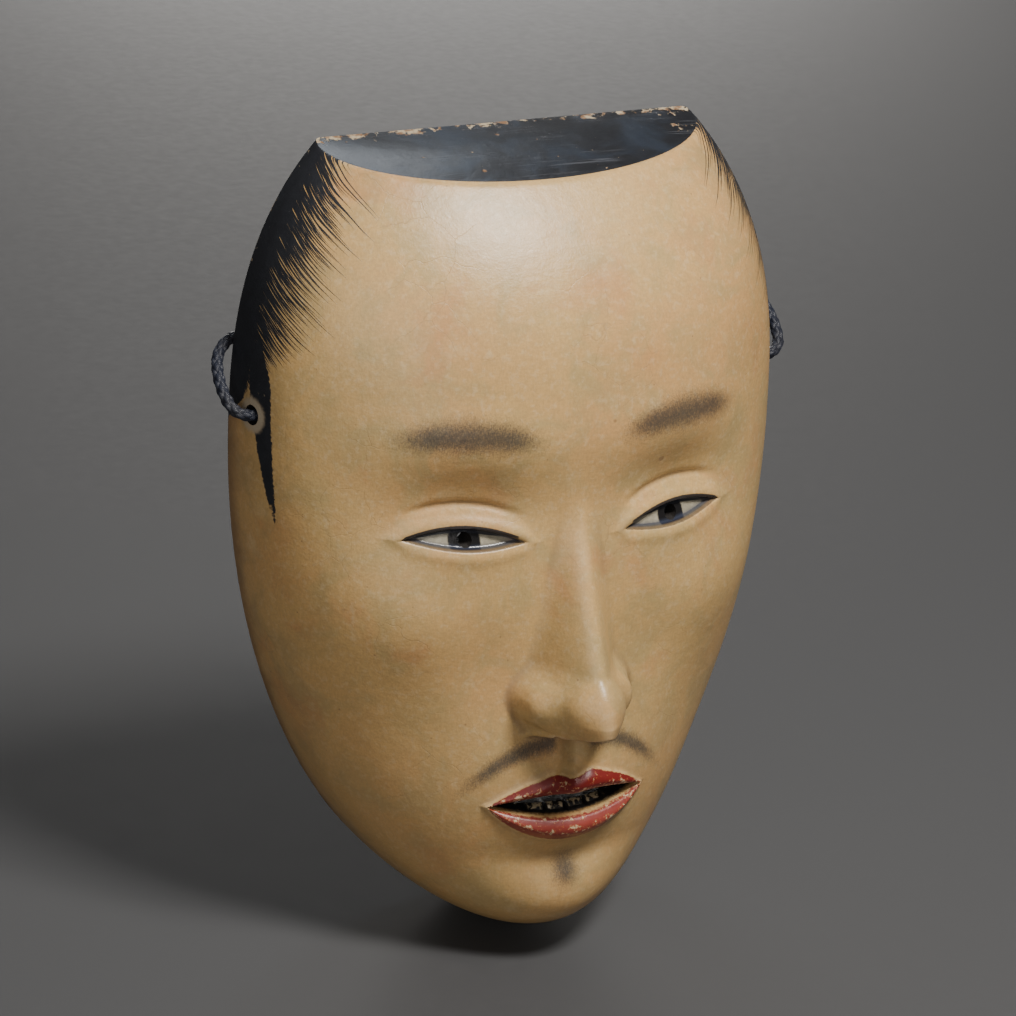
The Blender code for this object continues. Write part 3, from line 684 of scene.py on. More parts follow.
class Value:
    """An output in a shader tree; sums on it add math nodes, and | takes the greater."""

    def __init__(self, recipe, socket):
        self.recipe = recipe
        self.socket = socket

    __add__ = __radd__ = sum_of("ADD")
    __mul__ = __rmul__ = sum_of("MULTIPLY")
    __sub__, __rsub__ = sum_of("SUBTRACT"), sum_of("SUBTRACT", swapped=True)
    __truediv__ = sum_of("DIVIDE")
    __or__ = sum_of("MAXIMUM")

    def __neg__(self):
        """The value times minus one."""
        return self * -1.0

    def __abs__(self):
        """The value without its sign."""
        return self.recipe.math("ABSOLUTE", self)


class Recipe:
    """Writes shader nodes into a tree. Textures are read at its place unless given another."""

    def __init__(self, tree):
        self.tree = tree
        self.place = None

    def feed(self, socket, value):
        """Link a socket to a value, or set it to a plain number, colour or vector."""
        if isinstance(value, Value):
            self.tree.links.new(value.socket, socket)
        elif socket.type == "RGBA":
            socket.default_value = (*value, 1.0)
        else:
            socket.default_value = value

    def node(self, kind, inputs=(), **settings):
        """A new node with its settings, and its inputs given as (name or number, value)."""
        node = self.tree.nodes.new(kind)
        for name, setting in settings.items():
            setattr(node, name, setting)
        for key, value in inputs:
            self.feed(node.inputs[key], value)
        return node

    def values(self, kind, inputs=(), **settings):
        """All the outputs of a new node, given as to node."""
        return [Value(self, socket) for socket in self.node(kind, inputs, **settings).outputs]

    def math(self, operation, *numbers, clamp=False):
        """One sum on its numbers."""
        return self.values("ShaderNodeMath", enumerate(numbers), operation=operation,
                           use_clamp=clamp)[0]

    def ease(self, value, low, high, start=0.0, end=1.0):
        """Smooth step of a value from start at low to end at high."""
        return self.values("ShaderNodeMapRange", enumerate((value, low, high, start, end)),
                           interpolation_type="SMOOTHSTEP")[0]

    def mix(self, base, *layers):
        """Lay each (share, value) over the base in turn, as colours if the base is one."""
        coloured = isinstance(base, tuple) or isinstance(base, Value) and base.socket.type == "RGBA"
        kind, first, output = ("RGBA", 6, 2) if coloured else ("FLOAT", 2, 0)
        for share, value in layers:
            inputs = ((0, share), (first, base), (first + 1, value))
            base = self.values("ShaderNodeMix", inputs, data_type=kind)[output]
        return base

    def stretch(self, scale, place=None):
        """A place multiplied along each axis."""
        return self.values("ShaderNodeVectorMath", ((0, place or self.place), (1, scale)),
                           operation="MULTIPLY")[0]

    def noise(self, scale, detail=2.0, rough=0.5, distortion=0.0, place=None, output=0):
        """Cloudy noise about 0.5, or its colour as output 1."""
        return self.values("ShaderNodeTexNoise", (
            ("Vector", place or self.place), ("Scale", scale), ("Detail", detail),
            ("Roughness", rough), ("Distortion", distortion)))[output]

    def cells(self, scale, feature="F1", place=None, output=0):
        """Distance in a field of cells, or their random colours as output 1."""
        return self.values("ShaderNodeTexVoronoi", (("Vector", place or self.place), ("Scale", scale)),
                           feature=feature)[output]

    def chance(self, value):
        """A random number for each whole value."""
        return self.values("ShaderNodeTexWhiteNoise", (("W", value),), noise_dimensions="1D")[0]

    def field(self, name):
        """A number stored on the mesh."""
        return self.values("ShaderNodeAttribute", attribute_name=name)[2]

    def parts(self, place=None):
        """The three numbers of a place."""
        return self.values("ShaderNodeSeparateXYZ", ((0, place or self.place),))

    def effect(self, name, place=None, **numbers):
        """The outputs of a shared effect with its own numbers."""
        inputs = (("Vector", place or self.place), *numbers.items())
        return self.values("ShaderNodeGroup", inputs, node_tree=bpy.data.node_groups[name])


EFFECTS = []


def effect(*outputs, **inputs):
    """Note a function that fills a shared node group with these outputs and numbers."""
    def note(fill):
        EFFECTS.append((fill, outputs, inputs))
        return fill
    return note


def make_effect(fill, outputs, inputs):
    """Build the node group that has the function's name, and fill it."""
    name = fill.__name__.replace("_", " ")
    tree = bpy.data.node_groups.new(name, "ShaderNodeTree")
    tree.interface.new_socket("Vector", in_out="INPUT", socket_type="NodeSocketVector")
    for label, default in inputs.items():
        socket = tree.interface.new_socket(label, in_out="INPUT", socket_type="NodeSocketFloat")
        socket.default_value = default
    for label in outputs:
        tree.interface.new_socket(label, in_out="OUTPUT", socket_type="NodeSocketFloat")
    r = Recipe(tree)
    r.place, *numbers = r.values("NodeGroupInput")
    results = fill(r, *numbers[:len(inputs)])
    r.node("NodeGroupOutput", enumerate(results))


@effect("Broad", "Blotch", "Fine")
def mottle(r):
    """Broad clouds, blotches and fine cloudiness of an aged coat."""
    broad = r.ease(r.noise(0.016, 3.0, 0.55, 0.3), 0.38, 0.66)
    blotch = r.ease(r.noise(0.07, 5.0, 0.62, 0.8), 0.42, 0.68)
    return broad, blotch, r.noise(0.6, 4.0, 0.65)


@effect("Height", "Tone")
def brushed_coat(r):
    """Fine dabs left by a stippling brush: clouds over short crossed streaks."""
    streaks = r.noise(1.8, 3.0, 0.6, 0.4, r.stretch((1.5, 1.0, 0.28)))
    crossed = r.noise(1.3, 2.0, 0.5, 0.5, r.stretch((0.25, 1.0, 1.6)))
    height = 0.5 * r.noise(1.5, 3.0, 0.6) + 0.3 * streaks + 0.2 * crossed
    return height, r.ease(height, 0.40, 0.60)


@effect("Line", Scale=0.12, Width=0.02)
def crackle(r, scale, width):
    """Fine age cracks: thin lines between bent cells, broken up by clouds."""
    inputs = (r.noise(0.22, output=1), (2.5, 2.5, 2.5), r.place)
    bent = r.values("ShaderNodeVectorMath", enumerate(inputs), operation="MULTIPLY_ADD")[0]
    line = 1 - r.ease(r.cells(scale, "DISTANCE_TO_EDGE", bent), 0.0, width)
    return (line * r.ease(r.noise(0.05, 3.0), 0.48, 0.62),)


@effect("Chip", "Border", Nearness=0.0, Scale=0.5)
def wear(r, nearness, scale):
    """Chips that gather where nearness is high: ragged clouds over a falling threshold."""
    over = r.noise(scale, 6.0, 0.68, 0.4) - (1 - nearness)
    chip = r.ease(over, 0.0, 0.018)
    return chip, r.ease(over, -0.05, 0.0) * (1 - chip)


@effect("Fleck", Scale=0.16, Share=0.2)
def flecks(r, scale, share):
    """Small round stains: the cores of a few of the cells."""
    pick = r.parts(r.cells(scale, output=1))
    size = 0.10 * pick[1] + 0.035
    away = r.cells(scale) + 0.10 * r.noise(1.6, 3.0)
    return (r.math("LESS_THAN", pick[0], share) * (1 - r.ease(away, size, size + 0.07)),)


@effect("Stroke", Edge=0.0, Run=0.0, Spacing=1.0, Reach=10.0, Slant=0.9, Seed=0.0)
def brush_strokes(r, edge, run, spacing, reach, slant, seed):
    """Tapering hair strokes that leave the edge of a painted area.

    Across the strokes the run is cut into cells. Each cell has its own reach, and its stroke
    narrows to a point at the end of the reach.
    """
    away = -edge
    bend = 1.6 * (r.noise(0.06, 1.0) - 0.5)
    cell = (away * slant + run + bend) / spacing + seed
    number = r.math("FLOOR", cell)
    reach = reach * (0.45 * r.chance(number) + 0.55)
    middle = 0.4 * r.chance(number + 71.3) + 0.3
    left = r.math("SUBTRACT", 1.0, away / reach, clamp=True)
    half = 0.25 * r.math("POWER", left, 0.7)
    stroke = r.ease(half - abs(cell - number - middle), -0.03, 0.05)
    return (stroke * r.math("GREATER_THAN", left, 0.001),)


@effect("Band", "Fibre")
def wood_grain(r):
    """Straight grain of cypress: long bands along Z, with fine fibres between them."""
    shift = 16.0 * r.noise(1.0, 2.0, place=r.stretch((0.03, 0.03, 0.012)))
    band = r.math("SINE", 2.6 * (r.parts()[0] + shift))
    return 0.5 * band + 0.5, r.noise(1.0, 4.0, 0.65, place=r.stretch((3.2, 3.2, 0.10)))


@effect("Scratch")
def scratches(r):
    """Thin straight scratches in three directions, kept to a few patches."""
    lines = []
    for turn, scale in ((0.35, 1.0), (-0.5, 0.8), (1.3, 1.3)):
        turned = r.values("ShaderNodeMapping", (("Vector", r.place), ("Rotation", (0.0, 0.0, turn)),
                                                ("Scale", (0.05 * scale, 2.6 * scale, 0.6))))[0]
        lines.append(r.ease(r.noise(1.0, 2.0, 0.4, place=turned), 0.66, 0.72))
    return ((lines[0] | lines[1] | lines[2]) * r.ease(r.noise(0.06, 3.0), 0.42, 0.62),)


@effect("Height", "Slub", Thread=0.5)
def cloth_weave(r, thread):
    """Plain weave: warp and weft humps that pass over each other by turns."""
    x, _, z = r.parts()
    wobble = 1.2 * r.noise(0.25, 2.0)
    warp, weft = (x + wobble) / thread, (z + wobble) / thread
    tops = []
    for one, two, shift in ((warp, weft, 0.0), (weft, warp, 1.0)):
        over = r.math("SINE", math.pi * (two + r.math("FLOOR", one) + shift))
        tops.append(abs(r.math("SINE", math.pi * one)) * (0.35 * over + 0.65))
    return tops[0] | tops[1], r.noise(1.0, 3.0, 0.6, place=r.stretch((0.12, 1.0, 2.2)))


@effect("Height", "Fibre", "Strand")
def silk_braid(r):
    """Crossed strands along a cord, from UV: around the cord in X, along it in Y.

    The sum and the difference of the two count the strands of either way. Where the two counts
    add up to an even number the first way lies on top. Fibres run along the top strand.
    """
    around, along, _ = r.parts()
    ways = (around + along, around - along)
    first, second = (r.math("FLOOR", way) for way in ways)
    first_part, second_part = (r.math("FRACT", way) for way in ways)
    even = r.math("LESS_THAN", r.math("MODULO", abs(first + second) + 0.5, 2.0), 1.0)
    across = r.mix(second_part, (even, first_part))
    run = r.mix(first_part, (even, second_part))
    crown, arch, lines = (r.math("SINE", value) for value in (
        math.pi * across, math.pi * run, 14 * math.pi * across))
    height = r.math("POWER", crown, 0.6) * r.math("POWER", arch, 0.4)
    return height, 0.5 * lines + 0.5, r.chance(r.mix(first, (even, second)))


def new_material(name):
    """A material and its recipe, whose place is in millimetres on the object."""
    material = bpy.data.materials.new(name)
    material.use_nodes = True
    r = Recipe(material.node_tree)
    r.place = r.stretch((1000, 1000, 1000), r.values("ShaderNodeTexCoord")[3])
    return material, r


def finished(material, r, colour, rough, height=None, **shine):
    """The material with its shader fed: colour, roughness, relief in millimetres and shine."""
    shader = material.node_tree.nodes["Principled BSDF"].inputs
    for name, value in {"base_color": colour, "roughness": rough, **shine}.items():
        r.feed(shader[name.replace("_", " ").title()], value)
    if height:
        r.feed(shader["Normal"], r.values("ShaderNodeBump", (("Distance", MM), ("Strength", 1.0),
                                                             ("Height", height)))[0])
    return material


def aged_coat(r, settings, depth, level, crease, crease_shade_and_grime, patina, crack):
    """Shell-white coat toned, handled, flecked and crackled; painted shade in creases, low down and at
    the sides.
    """
    broad, blotch, fine = r.effect("mottle")
    tone = r.effect("brushed coat")[1]
    warm = r.ease(r.noise(0.045, 4.0, 0.6, 0.5), 0.55, 0.72)
    pale = r.ease(r.noise(0.11, 4.0, 0.6), 0.60, 0.74)
    return r.mix(
        tuple(settings.skin),
        (0.55 * broad, (0.63, 0.325, 0.125)),
        (0.50 * blotch, (0.400, 0.330, 0.150)),
        (0.50 * warm, (0.60, 0.270, 0.105)),
        (0.38 * pale, (0.70, 0.52, 0.27)),
        (0.34 * tone + 0.02, (0.39, 0.245, 0.105)),
        (0.24 * r.ease(fine, 0.50, 0.68), (0.78, 0.60, 0.36)),
        # Painted shade: darker towards the bottom, and towards the rim at the sides, there broken by
        # blotches
        (0.25 * r.ease(level, -20.0, -110.0), (0.38, 0.240, 0.105)),
        (r.ease(depth, 34.0, 6.0) * (0.30 * blotch + 0.15), (0.31, 0.185, 0.080)),
        # Painted shade darkens the creases
        (0.62 * crease_shade_and_grime, (0.155, 0.085, 0.045)),
        (0.22 * r.ease(crease, -0.05, -0.35), (0.74, 0.56, 0.36)),
        (0.66 * patina, (0.175, 0.092, 0.045)),
        (0.55 * r.effect("flecks", Scale=0.13, Share=0.17)[0], (0.23, 0.125, 0.06)),
        (0.50 * r.effect("flecks", Scale=0.42, Share=0.10)[0], (0.20, 0.105, 0.055)),
        (0.24 * crack, (0.22, 0.13, 0.07)))


def powdered_hair(r):
    """Mask of the brows, moustache and chin tuft, stippled with a nearly dry brush."""
    bristle = r.noise(1.3, 3.0, 0.7, place=r.stretch((2.6, 1.0, 0.9)))
    soft = r.field("brush_hair")
    grain = 0.55 * bristle + 0.45 * r.noise(3.0, 2.0, 0.7)
    return r.ease(soft + 1.3 * (grain - 0.5), 0.12, 1.05) * r.ease(soft, 0.02, 0.22)


# Layers of hair strokes: (spacing, reach, slant, seed)
HAIR_LAYERS = ((1.00, 21.0, 0.66, 0.0), (0.85, 18.0, 0.58, 31.4), (0.70, 14.0, 0.72, 67.7),
               (1.15, 23.0, 0.62, 12.2), (0.62, 11.0, 0.64, 90.1), (0.78, 16.0, 0.68, 45.9))


def painted_hair(r, level, ragged):
    """Mask of the painted hair: its solid part and the layers of strokes that leave its edge."""
    room = r.ease(level, 2.0, 24.0, 0.02, 1.0) * r.ease(level, 64.0, 50.0, 0.30, 1.0)
    sweep = r.field("hair_sweep")
    hair = r.ease(r.field("hair_edge") + ragged, -0.15, 0.25)
    for spacing, reach, slant, seed in HAIR_LAYERS:
        hair = hair | r.effect("brush strokes", Edge=sweep, Run=level, Spacing=spacing,
                               Reach=room * reach, Slant=slant, Seed=seed)[0]
    return hair


def painted_lips(r, settings, colour, fine, crease, shake):
    """Lay on the lips and their pale outline; returns the colour, lip mask and chips."""
    upper, lower, gap = (r.field(name) for name in ("upper_lip", "lower_lip", "mouth_gap"))
    upper_mask, lower_mask = (r.ease(edge + shake, -0.10, 0.16) for edge in (upper, lower))
    outline = r.ease(abs((upper | lower) + 0.35 + 0.5 * shake), 0.42, 0.10)
    outline = outline * (1 - r.ease(gap, -0.3, 0.2)) * r.ease(fine, 0.40, 0.55)
    cloud = r.noise(0.35, 4.0, 0.65)
    upper_paint = r.mix(tuple(settings.upper_lip), (cloud, (0.20, 0.014, 0.009)))
    inner = r.ease(lower, 2.6, 0.4) * r.ease(gap, -2.0, 0.0)
    lower_paint = r.mix(tuple(settings.lower_lip), (cloud, (0.31, 0.055, 0.036)),
                        (0.55 * inner, (0.20, 0.016, 0.012)))
    lips = upper_mask | lower_mask
    ridge = 0.14 * r.ease(crease, 0.10, -0.30) + 0.31
    chip, border = r.effect("wear", Nearness=ridge, Scale=0.75)
    chips = lips * chip
    colour = r.mix(colour, (0.75 * outline, (0.62, 0.42, 0.20)), (upper_mask, upper_paint),
                   (lower_mask, lower_paint), (chips, (0.58, 0.42, 0.25)),
                   (0.6 * lips * border, (0.70, 0.22, 0.06)))
    return colour, lips, chips


def painted_mouth(r, colour, fine, crease, shake):
    """Lay on the blackened teeth, rubbed on their crowns, with painted shade in the grooves between
    them; returns the colour and their mask.
    """
    mouth = r.ease(r.field("mouth_gap") + 0.4 * shake, 0.05, 0.45)
    rub = r.ease(crease - 0.40 * fine, -0.16, -0.38) * r.ease(r.noise(0.75, 4.0, 0.65), 0.47, 0.58)
    tooth = r.mix((0.013, 0.012, 0.012), (0.85 * rub, (0.46, 0.36, 0.22)),
                  # Painted shade in the grooves between the teeth
                  (0.8 * r.ease(r.field("tooth_gap"), 0.45, 0.15), (0.006, 0.005, 0.005)))
    return r.mix(colour, (mouth, tooth)), mouth


def painted_eyes(r, colour, fine, shake):
    """Lay on the eyeballs and lash lines; returns the colour and the eye and iris masks."""
    edge, pupil = r.field("eye_edge"), r.field("pupil_away")
    white = r.ease(edge, 0.05, 0.35)
    iris = r.ease(pupil + 0.5 * shake, 4.1, 3.6)
    ball = r.mix((0.31, 0.275, 0.20), (r.ease(fine, 0.40, 0.65), (0.41, 0.365, 0.27)),
                 (0.55 * r.ease(pupil, 9.0, 14.0), (0.42, 0.23, 0.15)), (iris, (0.012, 0.011, 0.011)))
    is_upper = r.ease(r.field("eye_level"), 0.2, 1.2)
    away = abs(edge - r.mix(0.25, (is_upper, 0.20))) + 0.25 * shake
    lash = r.ease(away - r.mix(0.45, (is_upper, 1.15)), 0.10, -0.12) * r.ease(pupil, 18.5, 16.0)
    sheen = r.ease(edge, 1.5, 0.5) * r.ease(edge, 0.1, 0.5) * (1 - is_upper)
    colour = r.mix(colour, (white, ball), (lash * r.mix(0.70, (is_upper, 0.95)), (0.016, 0.017, 0.024)),
                   (0.5 * sheen, (0.050, 0.060, 0.095)))
    return colour, white, iris


def painted_skin(settings):
    """Shell-white coat toned with age, its painted hair, eyes, lips and blackened teeth."""
    material, r = new_material("painted_skin")
    _, back, level = r.parts()
    depth, crease = -back, r.field("crease")
    fine = r.effect("mottle")[2]
    # Creases: painted shade in the colour, and rougher with less coat
    crease_shade_and_grime = r.ease(crease, 0.03, 0.35)
    patina = r.ease(depth + 9.0 * r.noise(0.14, 5.0, 0.65) - 4.5, 8.5, 0.5)
    crack = r.effect("crackle", Scale=0.085, Width=0.010)[0]
    colour = aged_coat(r, settings, depth, level, crease, crease_shade_and_grime, patina, crack)

    ragged = 1.6 * r.noise(0.9, 4.0, 0.6) - 0.8
    hair = painted_hair(r, level, ragged)
    luck = 0.55 * r.noise(0.06, 3.0, 0.6) + 0.02
    rubbed = r.effect("wear", Nearness=0.13 * r.ease(depth, 3.2, 0.2) + luck, Scale=0.38)[0]
    hole_away = r.field("hole_away")
    bare = hair * (rubbed | r.ease(hole_away + 0.8 * ragged, 5.2, 3.7))
    ring = r.ease(hole_away + 0.5 * ragged, 5.0, 3.4)
    ink = r.mix(tuple(settings.ink), (r.noise(0.3, 3.0), (0.022, 0.024, 0.030)))
    worn = r.mix((0.36, 0.25, 0.14), (r.noise(0.8, 3.0), (0.52, 0.42, 0.28)))
    colour = r.mix(colour, (0.90 * powdered_hair(r), (0.050, 0.045, 0.042)), (hair, ink), (bare, worn),
                   (0.8 * ring, (0.42, 0.35, 0.25)))

    shake = 0.7 * r.noise(1.1, 3.0, 0.6) - 0.35
    colour, lips, chips = painted_lips(r, settings, colour, fine, crease, shake)
    colour, mouth = painted_mouth(r, colour, fine, crease, shake)
    colour, white, iris = painted_eyes(r, colour, fine, shake)
    chips = bare | chips
    rough = r.mix(0.22 * fine + 0.27, (crease_shade_and_grime, 0.70), (patina, 0.58), (hair, 0.30 * fine + 0.36),
                  (chips, 0.75), (lips, 0.25 * fine + 0.28), (mouth | white, 0.17))
    gloss = 0.35 * (white * (1 - iris) | mouth | lips)
    height = (0.085 * r.effect("brushed coat")[0] + 0.16 * r.noise(0.22, 3.0) - 0.02 * crack
              + 0.035 * hair - 0.09 * chips + 0.06 * lips)
    return finished(material, r, colour, rough, height,
                    coat_weight=gloss | 0.07 * (1 - (crease_shade_and_grime | hair)), coat_roughness=0.28)


def cap_lacquer(settings):
    """Black lacquer of the cap band, scratched, and chipped to the coat and wood at its edges."""
    material, r = new_material("cap_lacquer")
    across, back, _ = r.parts()
    scratch = r.effect("scratches")[0]
    dust = r.noise(0.07, 5.0, 0.6, 0.5)
    near = 0.22 * r.ease(-back, 5.0, 0.0) + 0.10 * r.ease(abs(across), 34.0, 56.0)
    luck = 0.60 * r.noise(0.06, 3.0, 0.6) - 0.03
    bare = r.effect("wear", Nearness=near + luck, Scale=0.42)[0]
    for scale, share in ((0.20, 0.10), (0.50, 0.12), (0.90, 0.12)):
        bare = bare | r.effect("flecks", Scale=scale, Share=share)[0]
    under = r.mix((0.46, 0.37, 0.24), (r.ease(r.noise(0.5, 4.0, 0.6), 0.42, 0.60), (0.22, 0.12, 0.06)))
    colour = r.mix(tuple(settings.ink), (r.ease(dust, 0.42, 0.66), (0.018, 0.024, 0.036)),
                   (0.5 * scratch, (0.085, 0.090, 0.105)), (bare, under))
    rough = r.mix(0.26 * dust + 0.20, (scratch, 0.52), (bare, 0.78))
    height = 0.22 * r.noise(0.16, 3.0) + 0.022 * r.noise(1.6, 3.0) - 0.14 * bare - 0.02 * scratch
    return finished(material, r, colour, rough, height,
                    coat_weight=0.45 * (1 - bare), coat_roughness=0.22)


def stained_wood(name, settings, bare_share):
    """Cypress stained and rubbed dark, with pale grain where it is handled and painted shade in its
    creases.
    """
    material, r = new_material(name)
    band, fibre = r.effect("wood grain")
    _, blotch, fine = r.effect("mottle")
    crease = r.field("crease")
    stain = r.mix(tuple(settings.wood), (0.55 * band, (0.062, 0.026, 0.012)),
                  (0.45 * blotch, (0.175, 0.085, 0.040)),
                  (0.35 * r.ease(fibre, 0.45, 0.65), (0.045, 0.020, 0.010)))
    pale = r.mix((0.33, 0.205, 0.105), (band, (0.27, 0.160, 0.080)), (0.4 * fine, (0.20, 0.115, 0.055)))
    rubbed = 0.16 * r.ease(crease, 0.0, -0.28) + 0.10 * r.ease(-r.parts()[1], 5.0, 0.0) + bare_share
    worn = r.ease(r.noise(0.14, 6.0, 0.66, 0.4) + rubbed, 0.84, 1.12)
    # Pale where worn, and painted shade darkening the creases
    colour = r.mix(stain, (0.85 * worn, pale), (0.6 * r.ease(crease, 0.04, 0.30), (0.030, 0.015, 0.008)))
    height = 0.07 * fibre + 0.03 * band + 0.10 * r.noise(0.35, 3.0)
    return finished(material, r, colour, r.mix(0.30 * fibre + 0.27, (worn, 0.66)), height,
                    coat_weight=0.25 * (1 - worn), coat_roughness=0.30)


def bore_shadow():
    """Near-black wood with faint grain inside the pierced holes: painted shade of the bores."""
    material, r = new_material("inked_bore")
    fibre = r.effect("wood grain")[1]
    # Painted shade: the bore walls are near black
    colour = r.mix((0.007, 0.006, 0.005), (fibre, (0.018, 0.013, 0.010)))
    return finished(material, r, colour, 0.2 * fibre + 0.6, 0.1 * fibre)


def braided_silk(settings):
    """Dark braided silk: crossed strands, fine fibres, a soft sheen and a painted highlight on the
    strand crowns.
    """
    material, r = new_material("braided_silk")
    braid = r.values("ShaderNodeUVMap", uv_map="braid")[0]
    height, fibre, strand = r.effect("silk braid", braid)
    fade = r.ease(r.noise(0.12, 3.0), 0.40, 0.68)
    colour = r.mix(tuple(settings.silk), (0.55 * strand, (0.012, 0.015, 0.027)),
                   (0.40 * fade, (0.026, 0.024, 0.025)),
                   # Painted highlight: lighter, bluer crowns of the strands
                   (0.30 * r.ease(height, 0.55, 1.0), (0.028, 0.032, 0.048)),
                   (0.22 * fibre, (0.004, 0.005, 0.010)))
    return finished(material, r, colour, 0.22 * fibre + 0.38, 0.10 * height + 0.035 * fibre,
                    sheen_weight=0.10, sheen_roughness=0.4, sheen_tint=(0.45, 0.50, 0.70))


def wound_thread(settings):
    """Twisted red silk thread, with painted shade in the grooves of its twist."""
    material, r = new_material("wound_thread")
    around, along, _ = r.parts(r.values("ShaderNodeUVMap", uv_map="braid")[0])
    twist = 0.5 * r.math("SINE", 2 * math.pi * (around + along)) + 0.5
    cloud = r.noise(0.5, 4.0, 0.6)
    colour = r.mix(tuple(settings.red), (0.7 * cloud, (0.40, 0.075, 0.045)),
                   # Painted shade in the grooves of the twist
                   (0.55 * (1 - twist), (0.085, 0.010, 0.009)))
    return finished(material, r, colour, 0.25 * cloud + 0.40, 0.07 * twist, sheen_weight=0.3)


def unbleached_cotton(settings):
    """Plain-woven cotton, yellowed and grimed where the brow and cheeks press, with painted shade
    between its threads.
    """
    material, r = new_material("unbleached_cotton")
    height, slub = r.effect("cloth weave", Thread=0.55)
    stain = r.ease(r.noise(0.09, 5.0, 0.6, 0.6), 0.46, 0.68)
    colour = r.mix(tuple(settings.cotton), (0.35 * slub, (0.70, 0.64, 0.51)),
                   # Painted shade where the weave dips between threads
                   (0.45 * stain, (0.40, 0.285, 0.155)), (0.50 * (1 - height), (0.24, 0.185, 0.115)))
    return finished(material, r, colour, 0.15 * slub + 0.78, 0.16 * height + 0.05 * slub,
                    sheen_weight=0.25)


def paper_floor():
    """Plain grey paper sweep with a faint tooth."""
    material, r = new_material("paper_floor")
    tooth = r.noise(0.25, 3.0)
    colour = r.mix((0.058, 0.058, 0.060), (tooth, (0.068, 0.068, 0.070)))
    return finished(material, r, colour, 0.1 * tooth + 0.8)


# ---------------------------------------------------------------- cords

def way_along(points):
    """Distance from the first point to each, along the points."""
    return np.concatenate([[0], np.cumsum(np.linalg.norm(np.diff(points, axis=0), axis=1))])


def smooth_route(knots, step):
    """Evenly spaced points on the Catmull-Rom curve through the knots.

    Between two knots the curve is half of 2b + (c-a)t + (2a-5b+4c-d)t^2 + (3b-a-3c+d)t^3.
    """
    knots = np.asarray(knots, dtype=float)
    padded = np.vstack([2 * knots[0] - knots[1], knots, 2 * knots[-1] - knots[-2]])
    a, b, c, d = (padded[index:len(padded) - 3 + index, None] for index in range(4))
    t = np.linspace(0, 1, 24, endpoint=False)[None, :, None]
    fine = 0.5 * (2 * b + (c - a) * t + (2 * a - 5 * b + 4 * c - d) * t**2
                  + (3 * b - a - 3 * c + d) * t**3)
    fine = np.vstack([fine.reshape(-1, 3), padded[-2]])
    run = way_along(fine)
    even = np.linspace(0, run[-1], max(3, round(run[-1] / step) + 1))
    return np.stack([np.interp(even, run, fine[:, axis]) for axis in range(3)], axis=1)


def carried_frames(route):
    """Side and up at each ring, square to the route and carried along it without twist."""
    ahead = np.gradient(route, axis=0)
    ahead = ahead / np.linalg.norm(ahead, axis=1)[:, None]
    sides = np.empty_like(route)
    side = np.cross(ahead[0], (0.31, 0.83, 0.46))
    for index, along in enumerate(ahead):
        side = side - along * side.dot(along)
        side = side / np.linalg.norm(side)
        sides[index] = side
    return sides, np.cross(ahead, sides)


def round_tube(name, route, radius, around, pitch, strands, relief):
    """A closed cord along a route, its surface raised in crossed strands.

    With n strands each way, p = n turn + s / pitch and q = n turn - s / pitch. Where the whole
    parts of p and q add to an even number the radius follows the hump of p, else that of q:
    radius - relief (1 - sin(pi frac p)^0.6 sin(pi frac q)^0.4).
    """
    sides, ups = carried_frames(route)
    run = way_along(route)
    turn = np.linspace(0, 1, around, endpoint=False)
    p = strands * turn[None, :] + run[:, None] / pitch
    q = strands * turn[None, :] - run[:, None] / pitch
    one, two = p - np.floor(p), q - np.floor(q)
    even = (np.floor(p) + np.floor(q)) % 2 < 1
    cross, along = np.where(even, one, two), np.where(even, two, one)
    hump = np.power(np.sin(math.pi * cross), 0.6) * np.power(np.sin(math.pi * along), 0.4)
    thick = radius - relief * (1 - hump)
    close = np.minimum(run, run[-1] - run)[:, None]
    thick = thick * np.sqrt(1 - (1 - np.clip(close / (0.8 * radius), 0.02, 1)) ** 2)
    cosine, sine = (wave(2 * math.pi * turn)[None, :, None] for wave in (np.cos, np.sin))
    ring = cosine * sides[:, None] + sine * ups[:, None]
    points = (route[:, None] + ring * thick[..., None]).reshape(-1, 3)
    points = np.vstack([points, route[0], route[-1]]) * MM
    rows = len(route)
    number = np.arange(rows * around).reshape(rows, around)
    after = np.roll(number, -1, axis=1)
    quads = stacked(number[:-1], after[:-1], after[1:], number[1:]).reshape(-1, 4)
    first = stacked(np.full(around, rows * around), after[0], number[0])
    last = stacked(np.full(around, rows * around + 1), number[-1], after[-1])
    mesh = mesh_from_arrays(name, points, [quads, first, last])
    uv = np.zeros((4 * len(quads) + 6 * around, 2))
    u = stacked(turn, turn + 1 / around, turn + 1 / around, turn) * strands
    uv[:4 * len(quads), 0] = np.tile(u.ravel(), rows - 1)
    v = stacked(run[:-1], run[:-1], run[1:], run[1:]) / pitch
    uv[:4 * len(quads), 1] = np.repeat(v, around, axis=0).ravel()
    mesh.uv_layers.new(name="braid").data.foreach_set("uv", uv.astype(np.float32).ravel())
    mesh.shade_smooth()
    return mesh


def mirrored(side, points):
    """Points of the +X side moved to the side asked for."""
    return np.asarray(points, dtype=float) * (side, 1, 1)


def from_hank(points):
    """Points of the hank's own leaning frame (across, back, up) in the mask's frame."""
    across, back, up = np.asarray(points, dtype=float).T
    sine, cosine = math.sin(HANK_LEAN), math.cos(HANK_LEAN)
    return stacked(HANK_TOP[0] + across * cosine + up * sine, HANK_TOP[1] + back,
                   HANK_TOP[2] - across * sine + up * cosine)


